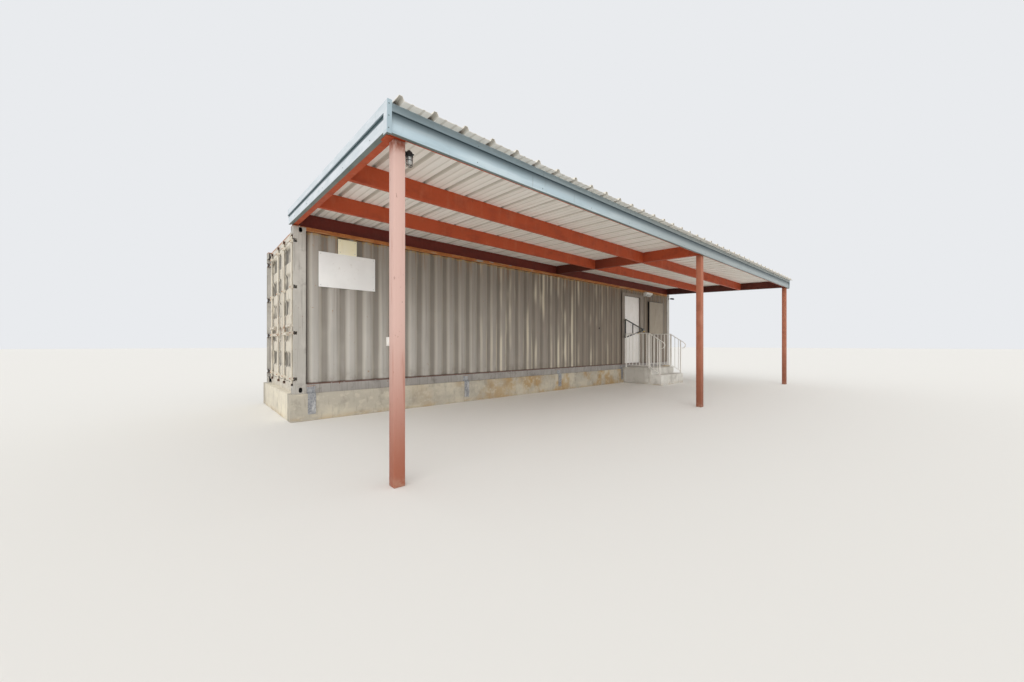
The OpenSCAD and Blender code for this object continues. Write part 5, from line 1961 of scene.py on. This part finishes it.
@dataclass
class SecurityCamera:
    """The bullet camera: a foot, a ball arm, a body under its hood and a lens."""

    foot: tuple[float, float, float] = (0.048, 0.008, 0.05)
    foot_edge: float = 0.003
    arm: float = 0.07
    arm_r: float = 0.008
    arm_x: float = 0.024
    arm_z: float = 0.025
    tilt_deg: float = 9.0
    ball: Profile = ((0, -0.014), (0.01, -0.01), (0.014, 0), (0.01, 0.01), (0, 0.014))
    housing: Profile = ((0, 0), (0.024, 0), (0.027, 0.004), (0.027, 0.112), (0.025, 0.118), (0.022, 0.118),
                        (0.022, 0.112), (0, 0.112))
    lens: Profile = ((0, 0.1125), (0.013, 0.1125), (0.013, 0.116), (0.008, 0.118), (0, 0.1185))
    hood_r: float = 0.029
    hood_t: float = 0.002
    hood: Span = (0.006, 0.126)

    def build(self) -> None:
        """Turn the camera's body and lens, and bend the hood over it."""
        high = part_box("security_camera")[1]
        root = Vector((high.x - self.arm_x, high.y, high.z - self.arm_z))
        joint = root + OUTWARD * self.arm
        tilt = math.radians(self.tilt_deg)
        aim = Vector((0, -math.cos(tilt), -math.sin(tilt)))
        bm = bmesh.new()
        block(bm, high - Vector(self.foot), high, self.foot_edge)
        rod(bm, root, joint, self.arm_r)
        turned(bm, self.ball, joint, aim)
        turned(bm, self.housing, joint, aim)
        before = set(bm.faces)
        rim = [bm.verts.new(joint + RIGHTWARD * self.hood_r + aim * along) for along in self.hood]
        bmesh.ops.spin(bm, geom=[*rim, bm.edges.new(rim)], cent=joint, axis=-aim, angle=math.pi, steps=14)
        shell = [face for face in bm.faces if face not in before]
        bmesh.ops.solidify(bm, geom=shell, thickness=self.hood_t)
        stand_in(bm, "security_camera", BLACK)
        lens = bmesh.new()
        turned(lens, self.lens, joint, aim)
        piece(lens, "camera_lens", LAMP_GLASS)


@dataclass(frozen=True)
class Stage:
    """A plain pale floor, soft studio light and the camera at the photograph's view."""

    camera_place: tuple[float, float, float] = (-1.229, -6.444, 1.183)
    turn_deg: float = 41.37
    floor_half: float = 150.0
    sky: str = "#e9ebee"
    sky_strength: float = 0.85
    sun_energy: float = 0.85
    sun_from: tuple[float, float, float] = (-0.75, -0.62, 0.62)
    sun_spread_deg: float = 60.0
    fill_energy: float = 0.8
    fill_from: tuple[float, float, float] = (-0.5, -0.85, 0.1)
    fill_spread_deg: float = 50.0

    def build(self) -> None:
        """Set up the floor, the light and the camera."""
        self.floor()
        self.sky_light()
        self.sun("soft_sun", self.sun_energy, self.sun_from, self.sun_spread_deg)
        self.sun("low_fill", self.fill_energy, self.fill_from, self.fill_spread_deg)
        self.camera()
        bpy.context.scene.view_settings.view_transform = "Standard"

    def floor(self) -> None:
        """Lay the floor at the ground's height."""
        bm = bmesh.new()
        bmesh.ops.create_grid(bm, x_segments=1, y_segments=1, size=self.floor_half)
        shown("studio_floor", mesh_of(bm, "studio_floor", PaleFloor("studio_floor")))

    def sky_light(self) -> None:
        """Light the object evenly from all round, before a pale backdrop."""
        world = bpy.data.worlds.new("studio")
        world.use_nodes = True
        tree = world.node_tree
        tree.nodes.clear()
        rays = add(tree, "LightPath").outputs
        direct = rays["Is Camera Ray"]
        for kind in ("Is Glossy Ray", "Is Transmission Ray"):
            direct = add(tree, "Math", {0: direct, 1: rays[kind]}, operation="MAXIMUM").outputs[0]
        lamp = add(tree, "Background", {"Color": srgb("#ffffff"), "Strength": self.sky_strength})
        seen = add(tree, "Background", {"Color": srgb(self.sky), "Strength": 1.0})
        both = add(tree, "MixShader", {0: direct, 1: lamp.outputs[0], 2: seen.outputs[0]})
        add(tree, "OutputWorld", {"Surface": both.outputs[0]})
        bpy.context.scene.world = world

    def sun(self, name: str, energy: float, towards: tuple[float, float, float], spread_deg: float) -> None:
        """Add a soft sun.

        Args:
            name: The lamp's name.
            energy: Its strength.
            towards: The direction that it stands in, seen from the object.
            spread_deg: How wide it is in the sky.
        """
        lamp = bpy.data.lights.new(name, "SUN")
        lamp.energy = energy
        lamp.angle = math.radians(spread_deg)
        shown(name, lamp).rotation_euler = Vector(towards).to_track_quat("Z", "Y").to_euler()

    def camera(self) -> None:
        """Stand the camera where the photograph was taken, level, with its field of view."""
        data = bpy.data.cameras.new("viewpoint")
        data.sensor_fit = "HORIZONTAL"
        data.lens = data.sensor_width * FOCAL_PX / IMAGE_W
        data.shift_y = (HORIZON_PX - IMAGE_H / 2) / IMAGE_W
        data.clip_end = 500.0
        made = shown("viewpoint", data)
        made.location = spot(*self.camera_place)
        made.rotation_euler = (math.pi / 2, 0.0, -math.radians(self.turn_deg))
        bpy.context.scene.camera = made


def main() -> None:
    """Build every sub-assembly in order."""
    logging.basicConfig(level=logging.INFO, format="%(name)s: %(message)s")
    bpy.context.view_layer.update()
    Stage().build()
    for part in (Foundation(), EntrySteps(), ContainerShell(), CargoDoors(), SideDoor(), Padlock(), Window(),
                 Canopy(), Boards(), Outlet(), WallLight(), Floodlight(), SecurityCamera()):
        LOG.info("%s", type(part).__name__)
        part.build()


if __name__ == "__main__":
    main()
